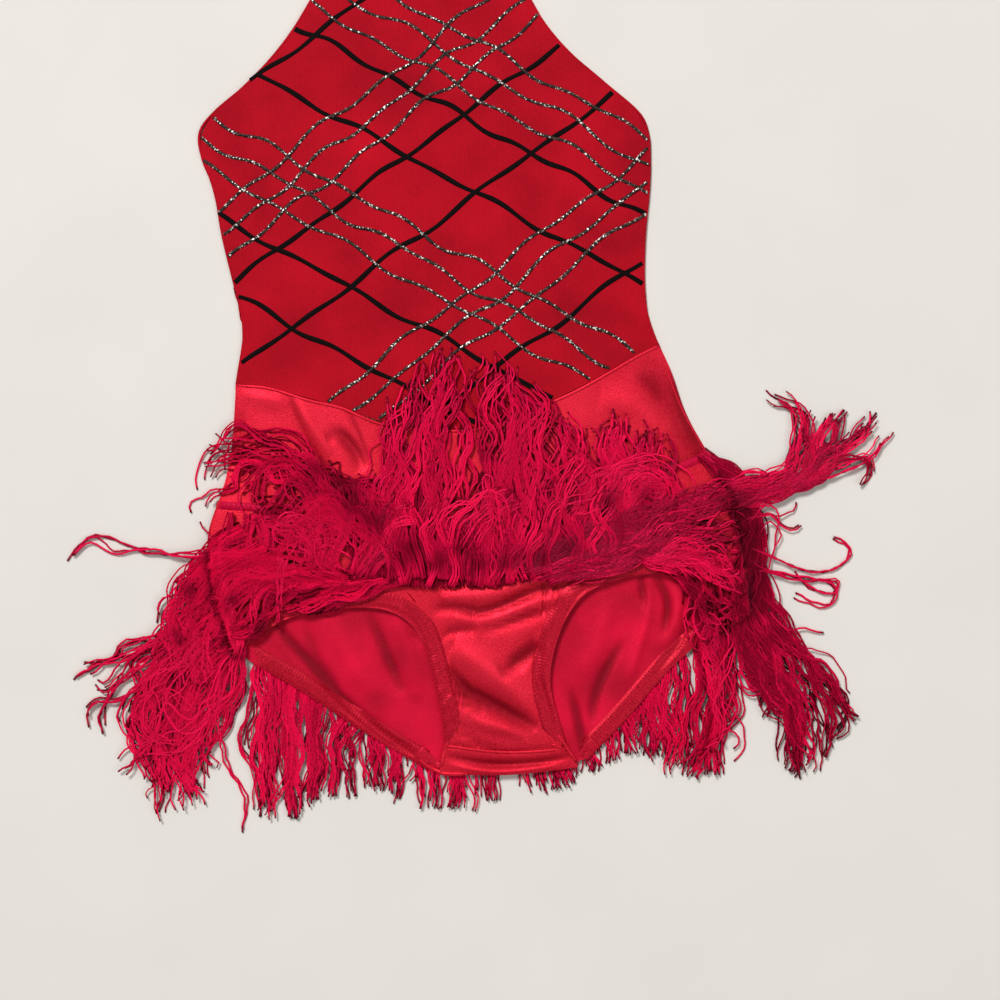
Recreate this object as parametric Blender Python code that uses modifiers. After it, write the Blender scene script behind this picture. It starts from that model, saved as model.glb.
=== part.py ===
"""A child's fringed halter dance leotard, laid flat on a table with its front up.

Metres, +Z up. +X runs to the right and +Y towards the neck, as seen from above. The back
bodice lies on z = 0, and the origin is on its underside, close to the garment's middle.
Sizes below are in millimetres, and MM turns them into metres.
"""

from typing import Callable, NamedTuple

import bmesh
import bpy
import numpy as np

MM = 0.001

# Cloth walls and the gaps that keep the pieces apart
CLOTH = 1.0
PLY_GAP = 0.3
SEAM_GAP = 0.4

# How far the front stands off the back, and over what distance from its edge
PUFF = 2.6
PUFF_REACH = 16.0
CROTCH_ROOM = 8.0

# The back brief is lifted over the fringe row that is sewn under it
BACK_TAPE_Y = -95.0
BACK_LIFT = 2.3
LIFT_START = 12.0
LIFT_RUN = 62.0
BACK_RIPPLE = 0.9
RIPPLE_PITCH = 38.0
RIPPLE_REACH = 24.0

# Turned elastic hem round each leg
HEM = 10.5
HEM_WALL = 0.9
HEM_GAP = 0.35

# Neckband: a flattened ring
NECK_BAND = 16.0
NECK_TAPER = 3.0
NECK_RING_HEIGHT = 3.6
NECK_SIDE_STEPS = 4
NECK_WIDTH_STEPS = 6

# Fringe strips and the strands hanging from them
STRIP_WIDTH = 5.0
STRIP_THICKNESS = 1.2
STRIP_GAP = 0.8
FLOOR_GAP = 0.3
EDGE_FALL = 32.0
HEM_FALL = 5.0

# Puckers that the elastic draws in the front, on the left leg edge beside the crotch
PUCKER_START = 0.68
PUCKER_TOP = -146.0
PUCKER_END = -206.0
PUCKER_PITCH = 8.5
PUCKER_HEIGHT = 0.9
PUCKER_REACH = 13.0
TIP_SCATTER = 7.0
LAYER_GAP = 0.35
RISE_OVER = 0.67
SAMPLES_PER_STEP = 4
POINTS_PER_SPAN = 10

# Mesh counts
BODICE_COLUMNS = 15
BODICE_ROWS = 16
BACK_BODICE_COLUMNS = 6
BACK_BODICE_ROWS = 12
BRIEF_ROWS = 8
FRONT_LEG_COLUMNS = 10
PUCKER_COLUMNS = 20
PLAIN_LEG_COLUMNS = 7
BACK_LEFT_COLUMNS = 9
BACK_RIGHT_COLUMNS = 10
GUSSET_COLUMNS = 6
GUSSET_FLAT_ROWS = 2
GUSSET_TURN_ROWS = 4


class Section(NamedTuple):
    """The garment's edges at one height: y, and the left and right edge there."""

    name: str
    y: float
    left: float
    right: float


SECTIONS = (
    Section("neck seam", 246, -98, 31),
    Section("upper chest", 219, -114, 48),
    Section("armhole", 194, -136, 76),
    Section("armhole foot", 175, -158, 98),
    Section("underarm", 162, -167, 104),
    Section("chest", 146, -165, 105),
    Section("chest line", 128, -158, 104.5),
    Section("ribs", 100, -153, 102),
    Section("waist", 71, -146, 101.5),
    Section("low waist", 46, -140, 104.5),
    Section("hip seam", 20, -142, 118),
    Section("high hip", -3, -145, 124),
    Section("upper fringe", -42, -149, 145),
    Section("full hip", -80, -161, 157),
    Section("side", -106, -158, 162),
    Section("right leg corner", -126, -153, 163),
    Section("left leg corner", -151, -144, 163),
)

# The dipping seam between bodice and brief, left to right: x, y
HIP_SEAM = (
    (-144.6, 11), (-124, 9), (-101, 2), (-80, -3), (-58, -12), (-28, -16),
    (4, -15), (36, -3), (59, 7), (79, 18), (96, 28), (110, 35),
)

# Front leg edges from the side corner to the gusset seam, and back again: x, y
FRONT_LEFT_LEG = (
    (-144, -151), (-127, -137), (-112, -128.5), (-79, -123.5), (-56, -123), (-41, -129),
    (-33, -140), (-27, -160), (-21, -186), (-19, -206),
)
FRONT_RIGHT_LEG = (
    (55, -208), (47, -183), (43, -166), (48, -143), (59, -118), (72, -109.5),
    (92, -105), (114, -101), (136, -105), (153, -115), (163, -126),
)
GUSSET_SEAM = ((-19, -206), (18, -210), (55, -208))
GUSSET_FOLD = ((-22, -224), (20, -224.5), (61, -220))

# Back leg edges, the same way round
BACK_LEFT_LEG = ((-144, -151), (-131, -159), (-108, -172), (-85, -187), (-60, -203), (-30, -220.5))
BACK_RIGHT_LEG = ((66, -216), (92, -189), (116, -161), (134, -145), (163, -126))
BACK_END = ((-30, -220.5), (18, -220), (66, -216))


class Fold(NamedTuple):
    """A soft ridge in the front, from one point to another."""

    name: str
    x0: float
    y0: float
    x1: float
    y1: float
    half_width: float
    height: float


FOLDS = (
    Fold("across the leg tops", -14, -119, 48, -125, 7, 1.3),
    Fold("diagonal below it", 44, -140, 22, -168, 8, 1.5),
    Fold("above the gusset", -8, -178, 36, -196, 8, 1.3),
    Fold("left hip", -104, -2, -76, -46, 8, 1.2),
    Fold("left of the middle", -72, -10, -50, -52, 7, 1.0),
    Fold("right hip", 96, 14, 112, -26, 9, 1.2),
    Fold("bodice left", -120, 150, -96, 60, 14, 0.8),
    Fold("bodice right", 60, 170, 70, 70, 14, 0.8),
)


class Guide(NamedTuple):
    """One strand's way: where it leaves the strip, two points on its way, and its tip.

    over is how far it lies above what is under it, once it has left the strip.
    """

    root: tuple
    knee: tuple
    shin: tuple
    tip: tuple
    over: float


class Fringe(NamedTuple):
    """A strip with strands whose ways lie between the guides'."""

    name: str
    strands: int
    width: float
    thickness: float
    segments: int
    layers: int
    on_floor: bool
    guides: tuple


FRINGES = (
    Fringe("fringe_back", 58, 2.6, 1.4, 4, 1, True, (
        Guide((-134, -95), (-138, -149), (-142, -203), (-141, -256), 0),
        Guide((-88, -95), (-88, -149), (-89, -197), (-87, -239), 0),
        Guide((-28, -95), (-28, -155), (-29, -203), (-29, -248), 0),
        Guide((26, -95), (26, -155), (28, -203), (32, -241), 0),
        Guide((86, -95), (85, -143), (88, -185), (92, -221), 0),
        Guide((142, -95), (138, -143), (139, -191), (144, -229), 0),
    )),
    Fringe("fringe_front_lower", 58, 2.2, 1.4, 5, 2, False, (
        Guide((-115, -112), (-126, -92), (-136, -68), (-150, -40), 6),
        Guide((-76, -107), (-88, -82), (-98, -52), (-114, -24), 6),
        Guide((-46, -104), (-47, -72), (-49, -30), (-58, 5), 3),
        Guide((-16, -106), (-16, -66), (-20, -18), (-28, 34), 1),
        Guide((14, -104), (13, -66), (10, -18), (6, 33), 1),
        Guide((44, -99), (48, -62), (44, -28), (42, 8), 1.5),
        Guide((77, -90), (92, -66), (98, -38), (92, -8), 6),
        Guide((111, -85), (128, -76), (144, -68), (160, -66), 7),
    )),
    Fringe("fringe_front_upper_left", 14, 2.2, 1.4, 5, 2, False, (
        Guide((-156, -62), (-160, -54), (-166, -50), (-174, -62), 0.3),
        Guide((-128, -64), (-136, -48), (-146, -34), (-160, -26), 0.3),
        Guide((-104, -70), (-108, -50), (-114, -30), (-130, -14), 0.3),
    )),
    Fringe("fringe_front_upper_right", 17, 2.2, 1.4, 6, 3, False, (
        Guide((92, -46), (126, -66), (176, -56), (232, -46), 5),
        Guide((118, -40), (150, -54), (190, -42), (247, -14), 5),
        Guide((142, -31), (164, -46), (186, -34), (198, -4), 5),
    )),
    Fringe("fringe_side_left", 20, 2.3, 1.4, 6, 3, False, (
        Guide((-151, -78), (-176, -82), (-212, -90), (-246, -95), 0.3),
        Guide((-153, -88), (-178, -110), (-204, -140), (-236, -162), 0.3),
        Guide((-152, -102), (-174, -148), (-196, -190), (-217, -220), 0.3),
        Guide((-149, -115), (-163, -168), (-176, -214), (-190, -252), 0.3),
        Guide((-145, -126), (-152, -176), (-158, -212), (-166, -236), 0.3),
    )),
    Fringe("fringe_side_right", 16, 2.3, 1.4, 6, 3, False, (
        Guide((149, -54), (176, -78), (206, -96), (226, -90), 0.3),
        Guide((154, -68), (184, -122), (212, -164), (214, -206), 0.3),
        Guide((156, -83), (174, -138), (196, -184), (202, -226), 0.3),
        Guide((155, -97), (164, -150), (178, -188), (188, -220), 0.3),
    )),
)


class Finish(NamedTuple):
    """A material: its name, colour, roughness and metallic value."""

    name: str
    colour: tuple
    roughness: float
    metallic: float


BODICE_CLOTH = Finish("ribbed_cloth", (0.46, 0.012, 0.022), 0.8, 0.0)
SATIN = Finish("satin", (0.62, 0.012, 0.04), 0.38, 0.0)
SATIN_INSIDE = Finish("satin_inside", (0.5, 0.012, 0.05), 0.75, 0.0)
HEM_CLOTH = Finish("elastic_hem", (0.55, 0.012, 0.04), 0.5, 0.0)
FRINGE_YARN = Finish("fringe_yarn", (0.42, 0.008, 0.05), 0.6, 0.0)


def smooth_line(points, per_span=POINTS_PER_SPAN):
    """A smooth line through the points: a Catmull-Rom curve, as a dense polyline."""
    knots = np.asarray(points, float)
    before = 2 * knots[0] - knots[1]
    after = 2 * knots[-1] - knots[-2]
    padded = np.vstack([before, knots, after])
    t = np.linspace(0, 1, per_span, endpoint=False)[:, None]
    line = []
    for a, b, c, d in zip(padded, padded[1:], padded[2:], padded[3:]):
        line.append(b + 0.5 * t * (c - a + t * (2 * a - 5 * b + 4 * c - d + t * (3 * (b - c) + d - a))))
    return np.vstack(line + [knots[-1:]])


def at_fractions(line, fractions):
    """Points at fractions of a polyline's length."""
    steps = np.hypot(*np.diff(line, axis=0).T)
    length = np.concatenate([[0], np.cumsum(steps)])
    want = np.asarray(fractions) * length[-1]
    return np.column_stack([np.interp(want, length, line[:, axis]) for axis in (0, 1)])


def spaced(points, count):
    """count + 1 points evenly along the smooth line through the given ones."""
    return at_fractions(smooth_line(points), np.linspace(0, 1, count + 1))


def side_x(y, side):
    """The garment's left or right edge at height y."""
    line = smooth_line([(row.y, getattr(row, side)) for row in SECTIONS])[::-1]
    return np.interp(y, line[:, 0], line[:, 1])


def side_line(y_top, y_end, side, count):
    """count + 1 points down one side, from y_top to y_end."""
    y = np.linspace(y_top, y_end, count + 1)
    return np.column_stack([side_x(y, side), y])


def closed_outline(bottom):
    """The silhouette: neck, right side, the given lower edge from right to left, left side."""
    top = SECTIONS[0].y
    right = side_line(top, bottom[-1][1], "right", 60)
    left = side_line(top, bottom[0][1], "left", 60)
    return np.vstack([right, bottom[::-1], left[::-1]])


def smooth_step(t):
    """0 below 0, 1 above 1, and an even change between."""
    t = np.clip(t, 0, 1)
    return t * t * (3 - 2 * t)


def line_distance(xy, start, end):
    """Distance from each point to the nearest of the stretches from start to end."""
    run = end - start
    offset = xy[:, None] - start[None]
    along = np.clip((offset * run).sum(-1) / np.maximum((run * run).sum(-1), 1e-12), 0, 1)
    return np.linalg.norm(offset - along[..., None] * run, axis=-1).min(axis=1)


def edge_distance(xy, outline):
    """Distance from each point to a closed outline, more than 0 inside it and less outside."""
    start, end = outline, np.roll(outline, -1, axis=0)
    run = end - start
    nearest = line_distance(xy, start, end)
    spans = (start[:, 1] > xy[:, None, 1]) != (end[:, 1] > xy[:, None, 1])
    rise = np.where(run[:, 1] == 0, 1e-12, run[:, 1])
    crossing = start[:, 0] + (xy[:, None, 1] - start[:, 1]) * run[:, 0] / rise
    inside = (spans & (xy[:, None, 0] < crossing)).sum(axis=1) % 2 == 1
    return np.where(inside, nearest, -nearest)


FRONT_EDGE = np.vstack([smooth_line(FRONT_LEFT_LEG), smooth_line(GUSSET_FOLD), smooth_line(FRONT_RIGHT_LEG)])
FRONT_OUTLINE = closed_outline(FRONT_EDGE)
BACK_OUTLINE = closed_outline(np.vstack([smooth_line(BACK_LEFT_LEG), smooth_line(BACK_RIGHT_LEG)]))

# Where the front meets the back: its sides and neck, and a little below the crotch
ROOMY_FOLD = np.asarray(GUSSET_FOLD) - (0, CROTCH_ROOM)
PUFF_OUTLINE = closed_outline(
    np.vstack([smooth_line(BACK_LEFT_LEG), ROOMY_FOLD, smooth_line(BACK_RIGHT_LEG)])
)


def fringe_lift(xy):
    """How far the back is off the table: nothing but where it lies on the fringe."""
    return BACK_LIFT * smooth_step((BACK_TAPE_Y + LIFT_START + LIFT_RUN - xy[:, 1]) / LIFT_RUN)


def back_underside(xy):
    """The back's underside: flat on the table, and lightly rippled where the fringe lifts it."""
    inside = smooth_step(edge_distance(xy, BACK_OUTLINE) / RIPPLE_REACH)
    ripple = 0.5 - 0.5 * np.cos(2 * np.pi * (xy[:, 0] + 0.4 * xy[:, 1]) / RIPPLE_PITCH)
    lift = fringe_lift(xy)
    return lift + BACK_RIPPLE * ripple * inside * lift / BACK_LIFT


def puckers(xy):
    """Small even waves beside the left leg edge, where its elastic draws the front in."""
    leg = smooth_line(FRONT_LEFT_LEG)
    near = np.exp(-((line_distance(xy, leg[:-1], leg[1:]) / PUCKER_REACH) ** 2))
    y = xy[:, 1]
    along = smooth_step((PUCKER_TOP - y) / PUCKER_PITCH) * smooth_step((y - PUCKER_END) / PUCKER_PITCH)
    wave = 0.5 - 0.5 * np.cos(2 * np.pi * (y - PUCKER_TOP) / PUCKER_PITCH)
    return PUCKER_HEIGHT * near * along * wave


def front_underside(xy):
    """The front's underside: on the back at its edges, with soft room and folds further in."""
    inside = np.maximum(edge_distance(xy, PUFF_OUTLINE), 0)
    room = PUFF * (1 - np.exp(-inside / PUFF_REACH))
    for fold in FOLDS:
        start, end = np.array((fold.x0, fold.y0)), np.array((fold.x1, fold.y1))
        run = end - start
        along = np.clip((xy - start) @ run / (run @ run), 0, 1)
        away = np.linalg.norm(xy - start - along[:, None] * run, axis=1)
        room += fold.height * np.exp(-((away / fold.half_width) ** 2)) * smooth_step(inside / PUFF_REACH)
    return fringe_lift(xy) + CLOTH + PLY_GAP + room + puckers(xy)


def hem_height(xy):
    """How far a leg hem stands on the cloth, on and close to it."""
    away = np.full(len(xy), np.inf)
    for points in (FRONT_LEFT_LEG, FRONT_RIGHT_LEG, BACK_LEFT_LEG, BACK_RIGHT_LEG):
        line = smooth_line(points)
        away = np.minimum(away, line_distance(xy, line[:-1], line[1:]))
    return (HEM_GAP + HEM_WALL) * (1 - smooth_step((away - HEM) / HEM_FALL))


def rest_height(xy):
    """The top of the garment under a strand, falling to the table outside it."""
    front = edge_distance(xy, FRONT_OUTLINE)
    back = edge_distance(xy, BACK_OUTLINE)
    hem = hem_height(xy)
    on_front = front_underside(xy) + CLOTH + hem
    on_back = back_underside(xy) + CLOTH + hem
    front_fall = on_front * (1 - smooth_step(-front / EDGE_FALL))
    back_fall = on_back * (1 - smooth_step(-back / EDGE_FALL))
    return np.maximum(front_fall, back_fall)


def between(top, bottom, left, right):
    """Rows of points spread between four edge lines, top row first."""
    u = np.linspace(0, 1, len(top))[None, :, None]
    v = np.linspace(0, 1, len(left))[:, None, None]
    across = (1 - u) * left[:, None] + u * right[:, None]
    down = (1 - v) * top[None] + v * bottom[None]
    corners = (1 - v) * ((1 - u) * top[0] + u * top[-1]) + v * ((1 - u) * bottom[0] + u * bottom[-1])
    return across + down - corners


def leg_hem_line(leg, places, side):
    """A leg edge moved in by the hem's width, cut off at the side edge and at the crotch."""
    line = smooth_line(leg)
    run = np.gradient(line, axis=0)
    run /= np.linalg.norm(run, axis=1)[:, None]
    moved = line + HEM * np.column_stack([-run[:, 1], run[:, 0]])
    corner, crotch = (leg[0], leg[-1]) if side == "left" else (leg[-1], leg[0])
    past_side = moved[:, 0] - side_x(moved[:, 1], side)
    inside = past_side > 1 if side == "left" else past_side < -1
    moved = moved[inside & (moved[:, 1] > crotch[1] + HEM)]
    corner_y = corner[1] + HEM
    foot = np.array([[side_x(corner_y, side), corner_y]])
    whole = np.vstack([foot, moved] if side == "left" else [moved, foot])
    return at_fractions(whole, places)


def lower_edges(side):
    """The brief's hem line and its lower edge, from the left corner to the right one."""
    right_places = np.linspace(0, 1, side.right_columns + 1)
    left = at_fractions(smooth_line(side.left_leg), side.left_places)
    centre = spaced(side.middle, GUSSET_COLUMNS)
    right = spaced(side.right_leg, side.right_columns)
    inner_left = leg_hem_line(side.left_leg, side.left_places, "left")
    inner_right = leg_hem_line(side.right_leg, right_places, "right")
    inner_centre = np.linspace(inner_left[-1], inner_right[0], GUSSET_COLUMNS + 1)
    inner = np.vstack([inner_left, inner_centre[1:-1], inner_right])
    return inner, np.vstack([left, centre[1:-1], right])


def brief_rows(side):
    """A brief panel's points: from the hip seam down to the hem line, then the edge itself.

    Along the seam they lie on the straight stretches between the bodice's points.
    """
    inner, edge = lower_edges(side)
    seam = spaced(HIP_SEAM, side.bodice_columns)
    places = np.concatenate([
        np.linspace(0, side.gusset_from, len(side.left_places) - 1, endpoint=False),
        np.linspace(side.gusset_from, side.gusset_to, GUSSET_COLUMNS, endpoint=False),
        np.linspace(side.gusset_to, side.bodice_columns, side.right_columns + 1),
    ])
    top = np.column_stack([np.interp(places, np.arange(len(seam)), seam[:, axis]) for axis in (0, 1)])
    top -= (0, SEAM_GAP / 2)
    left = side_line(top[0][1], inner[0][1], "left", BRIEF_ROWS)
    right = side_line(top[-1][1], inner[-1][1], "right", BRIEF_ROWS)
    left[0], right[0] = top[0], top[-1]
    return np.concatenate([between(top, inner, left, right), edge[None]])


def bodice_rows(columns, rows):
    """A bodice panel's points, from the neck seam down to the hip seam."""
    neck = SECTIONS[0]
    top = np.column_stack([np.linspace(neck.left, neck.right, columns + 1), np.full(columns + 1, neck.y)])
    seam = spaced(HIP_SEAM, columns) + (0, SEAM_GAP / 2)
    left = side_line(neck.y, seam[0][1], "left", rows)
    right = side_line(neck.y, seam[-1][1], "right", rows)
    left[-1], right[-1] = seam[0], seam[-1]
    return between(top, seam, left, right)


def material_for(finish):
    """The finish's material, made once."""
    if finish.name in bpy.data.materials:
        return bpy.data.materials[finish.name]
    material = bpy.data.materials.new(finish.name)
    material.use_nodes = True
    shader = material.node_tree.nodes["Principled BSDF"]
    shader.inputs["Base Color"].default_value = (*finish.colour, 1.0)
    shader.inputs["Roughness"].default_value = finish.roughness
    shader.inputs["Metallic"].default_value = finish.metallic
    return material


def add_object(name, mesh, finish, collection):
    """An object for a mesh, with its material, in the garment's collection."""
    thing = bpy.data.objects.new(name, mesh)
    mesh.materials.append(material_for(finish))
    collection.objects.link(thing)
    return thing


def grid_faces(shape, points, closed=False):
    """Faces between rows of points; with closed, each row's end joins its start."""
    columns = points.shape[1]
    corners = [[shape.verts.new(point * MM) for point in row] for row in points]
    for upper, lower in zip(corners, corners[1:]):
        for column in range(columns if closed else columns - 1):
            after = (column + 1) % columns
            shape.faces.new((lower[column], lower[after], upper[after], upper[column]))


def panel(name, points, wall, finish, collection):
    """A laid cloth wall: its underside's grid of points, drawn straight up by the wall."""
    mesh = bpy.data.meshes.new(name)
    shape = bmesh.new()
    grid_faces(shape, points)
    bmesh.ops.triangulate(shape, faces=shape.faces, quad_method="FIXED")
    drawn = bmesh.ops.extrude_face_region(shape, geom=shape.faces[:])["geom"]
    upper = [item for item in drawn if isinstance(item, bmesh.types.BMVert)]
    bmesh.ops.translate(shape, verts=upper, vec=(0, 0, wall * MM))
    bmesh.ops.recalc_face_normals(shape, faces=shape.faces)
    shape.to_mesh(mesh)
    shape.free()
    return add_object(name, mesh, finish, collection)


def turned_sheet(name, points, wall, finish, collection, closed=False):
    """A turned cloth wall: an open grid of points, thickened outwards."""
    mesh = bpy.data.meshes.new(name)
    shape = bmesh.new()
    grid_faces(shape, points, closed)
    shape.to_mesh(mesh)
    shape.free()
    thing = add_object(name, mesh, finish, collection)
    solidify = thing.modifiers.new("cloth wall", "SOLIDIFY")
    solidify.thickness = wall * MM
    solidify.offset = 1.0
    return thing


def raised(rows, height):
    """Grid points with their height from a function of their places."""
    flat = rows.reshape(-1, 2)
    return np.column_stack([flat, height(flat)]).reshape(*rows.shape[:2], 3)


def build_bodice(collection):
    front = bodice_rows(BODICE_COLUMNS, BODICE_ROWS)
    panel("front_bodice", raised(front, front_underside), CLOTH, BODICE_CLOTH, collection)
    back = bodice_rows(BACK_BODICE_COLUMNS, BACK_BODICE_ROWS)
    panel("back_bodice", raised(back, back_underside), CLOTH, BODICE_CLOTH, collection)


class BriefSide(NamedTuple):
    """One side of the brief: its edges and how its columns meet the bodice's.

    gusset_from and gusset_to are the bodice columns above the gusset's ends. clear_columns is
    how many columns next to a side corner have no hem.
    """

    name: str
    left_leg: tuple
    middle: tuple
    right_leg: tuple
    left_places: np.ndarray
    right_columns: int
    bodice_columns: int
    gusset_from: int
    gusset_to: int
    clear_columns: int
    height: Callable
    finish: Finish


# Places along the front's left leg edge, close together where it is puckered
PUCKERED_LEG_PLACES = np.concatenate([
    np.linspace(0, PUCKER_START, PLAIN_LEG_COLUMNS, endpoint=False),
    np.linspace(PUCKER_START, 1, PUCKER_COLUMNS + 1),
])

BRIEF_SIDES = (
    BriefSide(
        "front", FRONT_LEFT_LEG, GUSSET_SEAM, FRONT_RIGHT_LEG,
        PUCKERED_LEG_PLACES, FRONT_LEG_COLUMNS, BODICE_COLUMNS, 9, 10, 0, front_underside, SATIN,
    ),
    BriefSide(
        "back", BACK_LEFT_LEG, BACK_END, BACK_RIGHT_LEG,
        np.linspace(0, 1, BACK_LEFT_COLUMNS + 1), BACK_RIGHT_COLUMNS, BACK_BODICE_COLUMNS, 3, 4, 1,
        back_underside, SATIN_INSIDE,
    ),
)


def build_brief(collection):
    """Front and back of the brief, and the four hems that lie on their leg edges."""
    for side in BRIEF_SIDES:
        points = raised(brief_rows(side), side.height)
        panel(f"{side.name}_brief", points, CLOTH, side.finish, collection)
        hem = points[-2:] + (0, 0, CLOTH + HEM_GAP)
        left_hem = hem[:, side.clear_columns:len(side.left_places)]
        right_hem = hem[:, -side.right_columns - 1:hem.shape[1] - side.clear_columns]
        panel(f"leg_hem_{side.name}_left", left_hem, HEM_WALL, HEM_CLOTH, collection)
        panel(f"leg_hem_{side.name}_right", right_hem, HEM_WALL, HEM_CLOTH, collection)


def build_gusset(collection):
    """The gusset: flat on the front, turned over the lower fold and in to meet the back."""
    seam = spaced(GUSSET_SEAM, GUSSET_COLUMNS) - (0, SEAM_GAP)
    fold = spaced(GUSSET_FOLD, GUSSET_COLUMNS)
    end = spaced(BACK_END, GUSSET_COLUMNS)
    end = np.column_stack([fold[:, 0], np.interp(fold[:, 0], end[:, 0], end[:, 1]) - SEAM_GAP])
    top, low = front_underside(fold), back_underside(end) + CLOTH
    radius = (top - low) / 2
    turn_y = fold[:, 1] + CLOTH + radius
    rows = []
    for step in np.linspace(0, 1, GUSSET_FLAT_ROWS + 1):
        y = (1 - step) * seam[:, 1] + step * turn_y
        xy = np.column_stack([(1 - step) * seam[:, 0] + step * fold[:, 0], y])
        z = (1 - step) * front_underside(seam) + step * top
        rows.append(np.column_stack([xy, z]))
    for angle in np.linspace(0, np.pi, GUSSET_TURN_ROWS + 1)[1:]:
        y = turn_y - radius * np.sin(angle)
        rows.append(np.column_stack([fold[:, 0], y, low + radius * (1 + np.cos(angle))]))
    rows.append(np.column_stack([end, low]))
    turned_sheet("gusset", np.array(rows), CLOTH, SATIN, collection)


def build_neck_band(collection):
    """The neckband: a flattened ring of cloth that stands on the neck seam."""
    seam = SECTIONS[0]
    radius = NECK_RING_HEIGHT / 2
    rows = []
    for share in (1.0, 0.5, SEAM_GAP / NECK_BAND):
        y, taper = seam.y + share * NECK_BAND, share * NECK_TAPER
        left, right = seam.left + taper + radius, seam.right - taper - radius
        ring = []
        for centre, start in ((right, -np.pi / 2), (left, np.pi / 2)):
            for angle in np.linspace(start, start + np.pi, NECK_SIDE_STEPS + 1):
                inner = radius - CLOTH
                ring.append((centre + inner * np.cos(angle), y, radius + inner * np.sin(angle)))
            other = left if centre == right else right
            z = ring[-1][2]
            for step in np.linspace(0, 1, NECK_WIDTH_STEPS, endpoint=False)[1:]:
                ring.append((centre + step * (other - centre), y, z))
        rows.append(ring)
    turned_sheet("neck_band", np.array(rows)[:, ::-1], CLOTH, BODICE_CLOTH, collection, closed=True)


def scatter(index):
    """An even, repeatable spread of values from -1 to 1."""
    return 2 * ((index * 0.618034 + 0.21) % 1.0) - 1


def guide_way(guides, roots, fraction, samples):
    """A strand's way on the plan, between those of the two guides beside it."""
    place = np.interp(fraction, roots, np.arange(len(guides)))
    first = min(int(place), len(guides) - 2)
    share = place - first
    ways = []
    for guide in guides[first:first + 2]:
        ways.append(spaced((guide.root, guide.knee, guide.shin, guide.tip), samples))
    over = (1 - share) * guides[first].over + share * guides[first + 1].over
    return (1 - share) * ways[0] + share * ways[1], over


def strand_rings(fringe, roots, index, fraction, start_side):
    """Four corners for each step along one strand."""
    samples = SAMPLES_PER_STEP * fringe.segments
    way, over = guide_way(fringe.guides, roots, fraction, samples)
    length = np.linalg.norm(np.diff(way, axis=0), axis=1).sum()
    keep = 1 - TIP_SCATTER * (1 + scatter(index)) / (2 * length)
    way = at_fractions(way, np.linspace(0, keep, samples + 1))
    under = np.zeros(samples + 1) if fringe.on_floor else rest_height(way)
    layer = (index % fringe.layers) * (fringe.thickness + LAYER_GAP)
    rings, side = [], start_side
    for step in range(1, fringe.segments + 1):
        middle = SAMPLES_PER_STEP * step
        near = under[middle - SAMPLES_PER_STEP:middle + SAMPLES_PER_STEP + 1].max()
        run = way[min(middle + 2, samples)] - way[middle - 2]
        run /= np.linalg.norm(run)
        across = np.array((-run[1], run[0]))
        side = across if across @ side > 0 else -across
        gap = FLOOR_GAP if fringe.on_floor else STRIP_GAP
        low = near + gap + (layer + over) * min(1.0, step / fringe.segments / RISE_OVER)
        left, right = way[middle] - side * fringe.width / 2, way[middle] + side * fringe.width / 2
        high = low + fringe.thickness
        rings.append(((*left, low), (*left, high), (*right, high), (*right, low)))
    return np.array(rings)


def build_fringe(fringe, collection):
    """A strip whose edge faces are drawn out, one after another, into strands."""
    line = smooth_line([guide.root for guide in fringe.guides])
    spans = np.concatenate([[0], np.cumsum(np.hypot(*np.diff(line, axis=0).T))])
    roots = spans[::POINTS_PER_SPAN] / spans[-1]
    stations = 2 * fringe.strands
    places = at_fractions(line, np.linspace(0, 1, stations))
    along = np.gradient(places, axis=0)
    along /= np.linalg.norm(along, axis=1)[:, None]
    out = np.column_stack([-along[:, 1], along[:, 0]])
    first = fringe.guides[0]
    if out[0] @ (np.array(first.knee) - first.root) < 0:
        out = -out
    inner, outer = places - out * STRIP_WIDTH, places
    if fringe.on_floor:
        low = np.full(stations, FLOOR_GAP)
    else:
        low = np.maximum(rest_height(inner), rest_height(outer)) + STRIP_GAP
    high = low + STRIP_THICKNESS

    shape = bmesh.new()
    rings = []
    for near, far, bottom, top in zip(outer, inner, low, high):
        ring = ((*near, bottom), (*near, top), (*far, top), (*far, bottom))
        rings.append([shape.verts.new(np.array(corner) * MM) for corner in ring])
    edge_faces = []
    for ring, after in zip(rings, rings[1:]):
        for corner in range(4):
            other = (corner + 1) % 4
            face = shape.faces.new((ring[corner], ring[other], after[other], after[corner]))
            if corner == 0:
                edge_faces.append(face)
    shape.faces.new(rings[0])
    shape.faces.new(rings[-1][::-1])

    for index in range(fringe.strands):
        start = edge_faces[2 * index]
        fraction = (2 * index + 0.5) / (stations - 1)
        ways = strand_rings(fringe, roots, index, fraction, along[2 * index])
        for ring in ways:
            drawn = bmesh.ops.extrude_discrete_faces(shape, faces=[start])["faces"][0]
            for vertex, corner in zip(drawn.verts, ring):
                vertex.co = corner * MM
            start = drawn
    bmesh.ops.recalc_face_normals(shape, faces=shape.faces)
    mesh = bpy.data.meshes.new(fringe.name)
    shape.to_mesh(mesh)
    shape.free()
    return add_object(fringe.name, mesh, FRINGE_YARN, collection)


def main():
    for old in list(bpy.data.objects):
        bpy.data.objects.remove(old, do_unlink=True)
    collection = bpy.data.collections.new("fringed halter dance leotard")
    bpy.context.scene.collection.children.link(collection)
    build_bodice(collection)
    build_neck_band(collection)
    build_brief(collection)
    build_gusset(collection)
    for fringe in FRINGES:
        build_fringe(fringe, collection)


main()
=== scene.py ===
"""A child's fringed halter dance leotard, laid flat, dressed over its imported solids.

Lengths in the tables are millimetres on the table, with +Y towards the neck, or places in the
photograph, which on_table turns into metres on the table. The strands are laid one after
another on a relief of the dressed garment, so each rests on what lies under it.
"""

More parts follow.
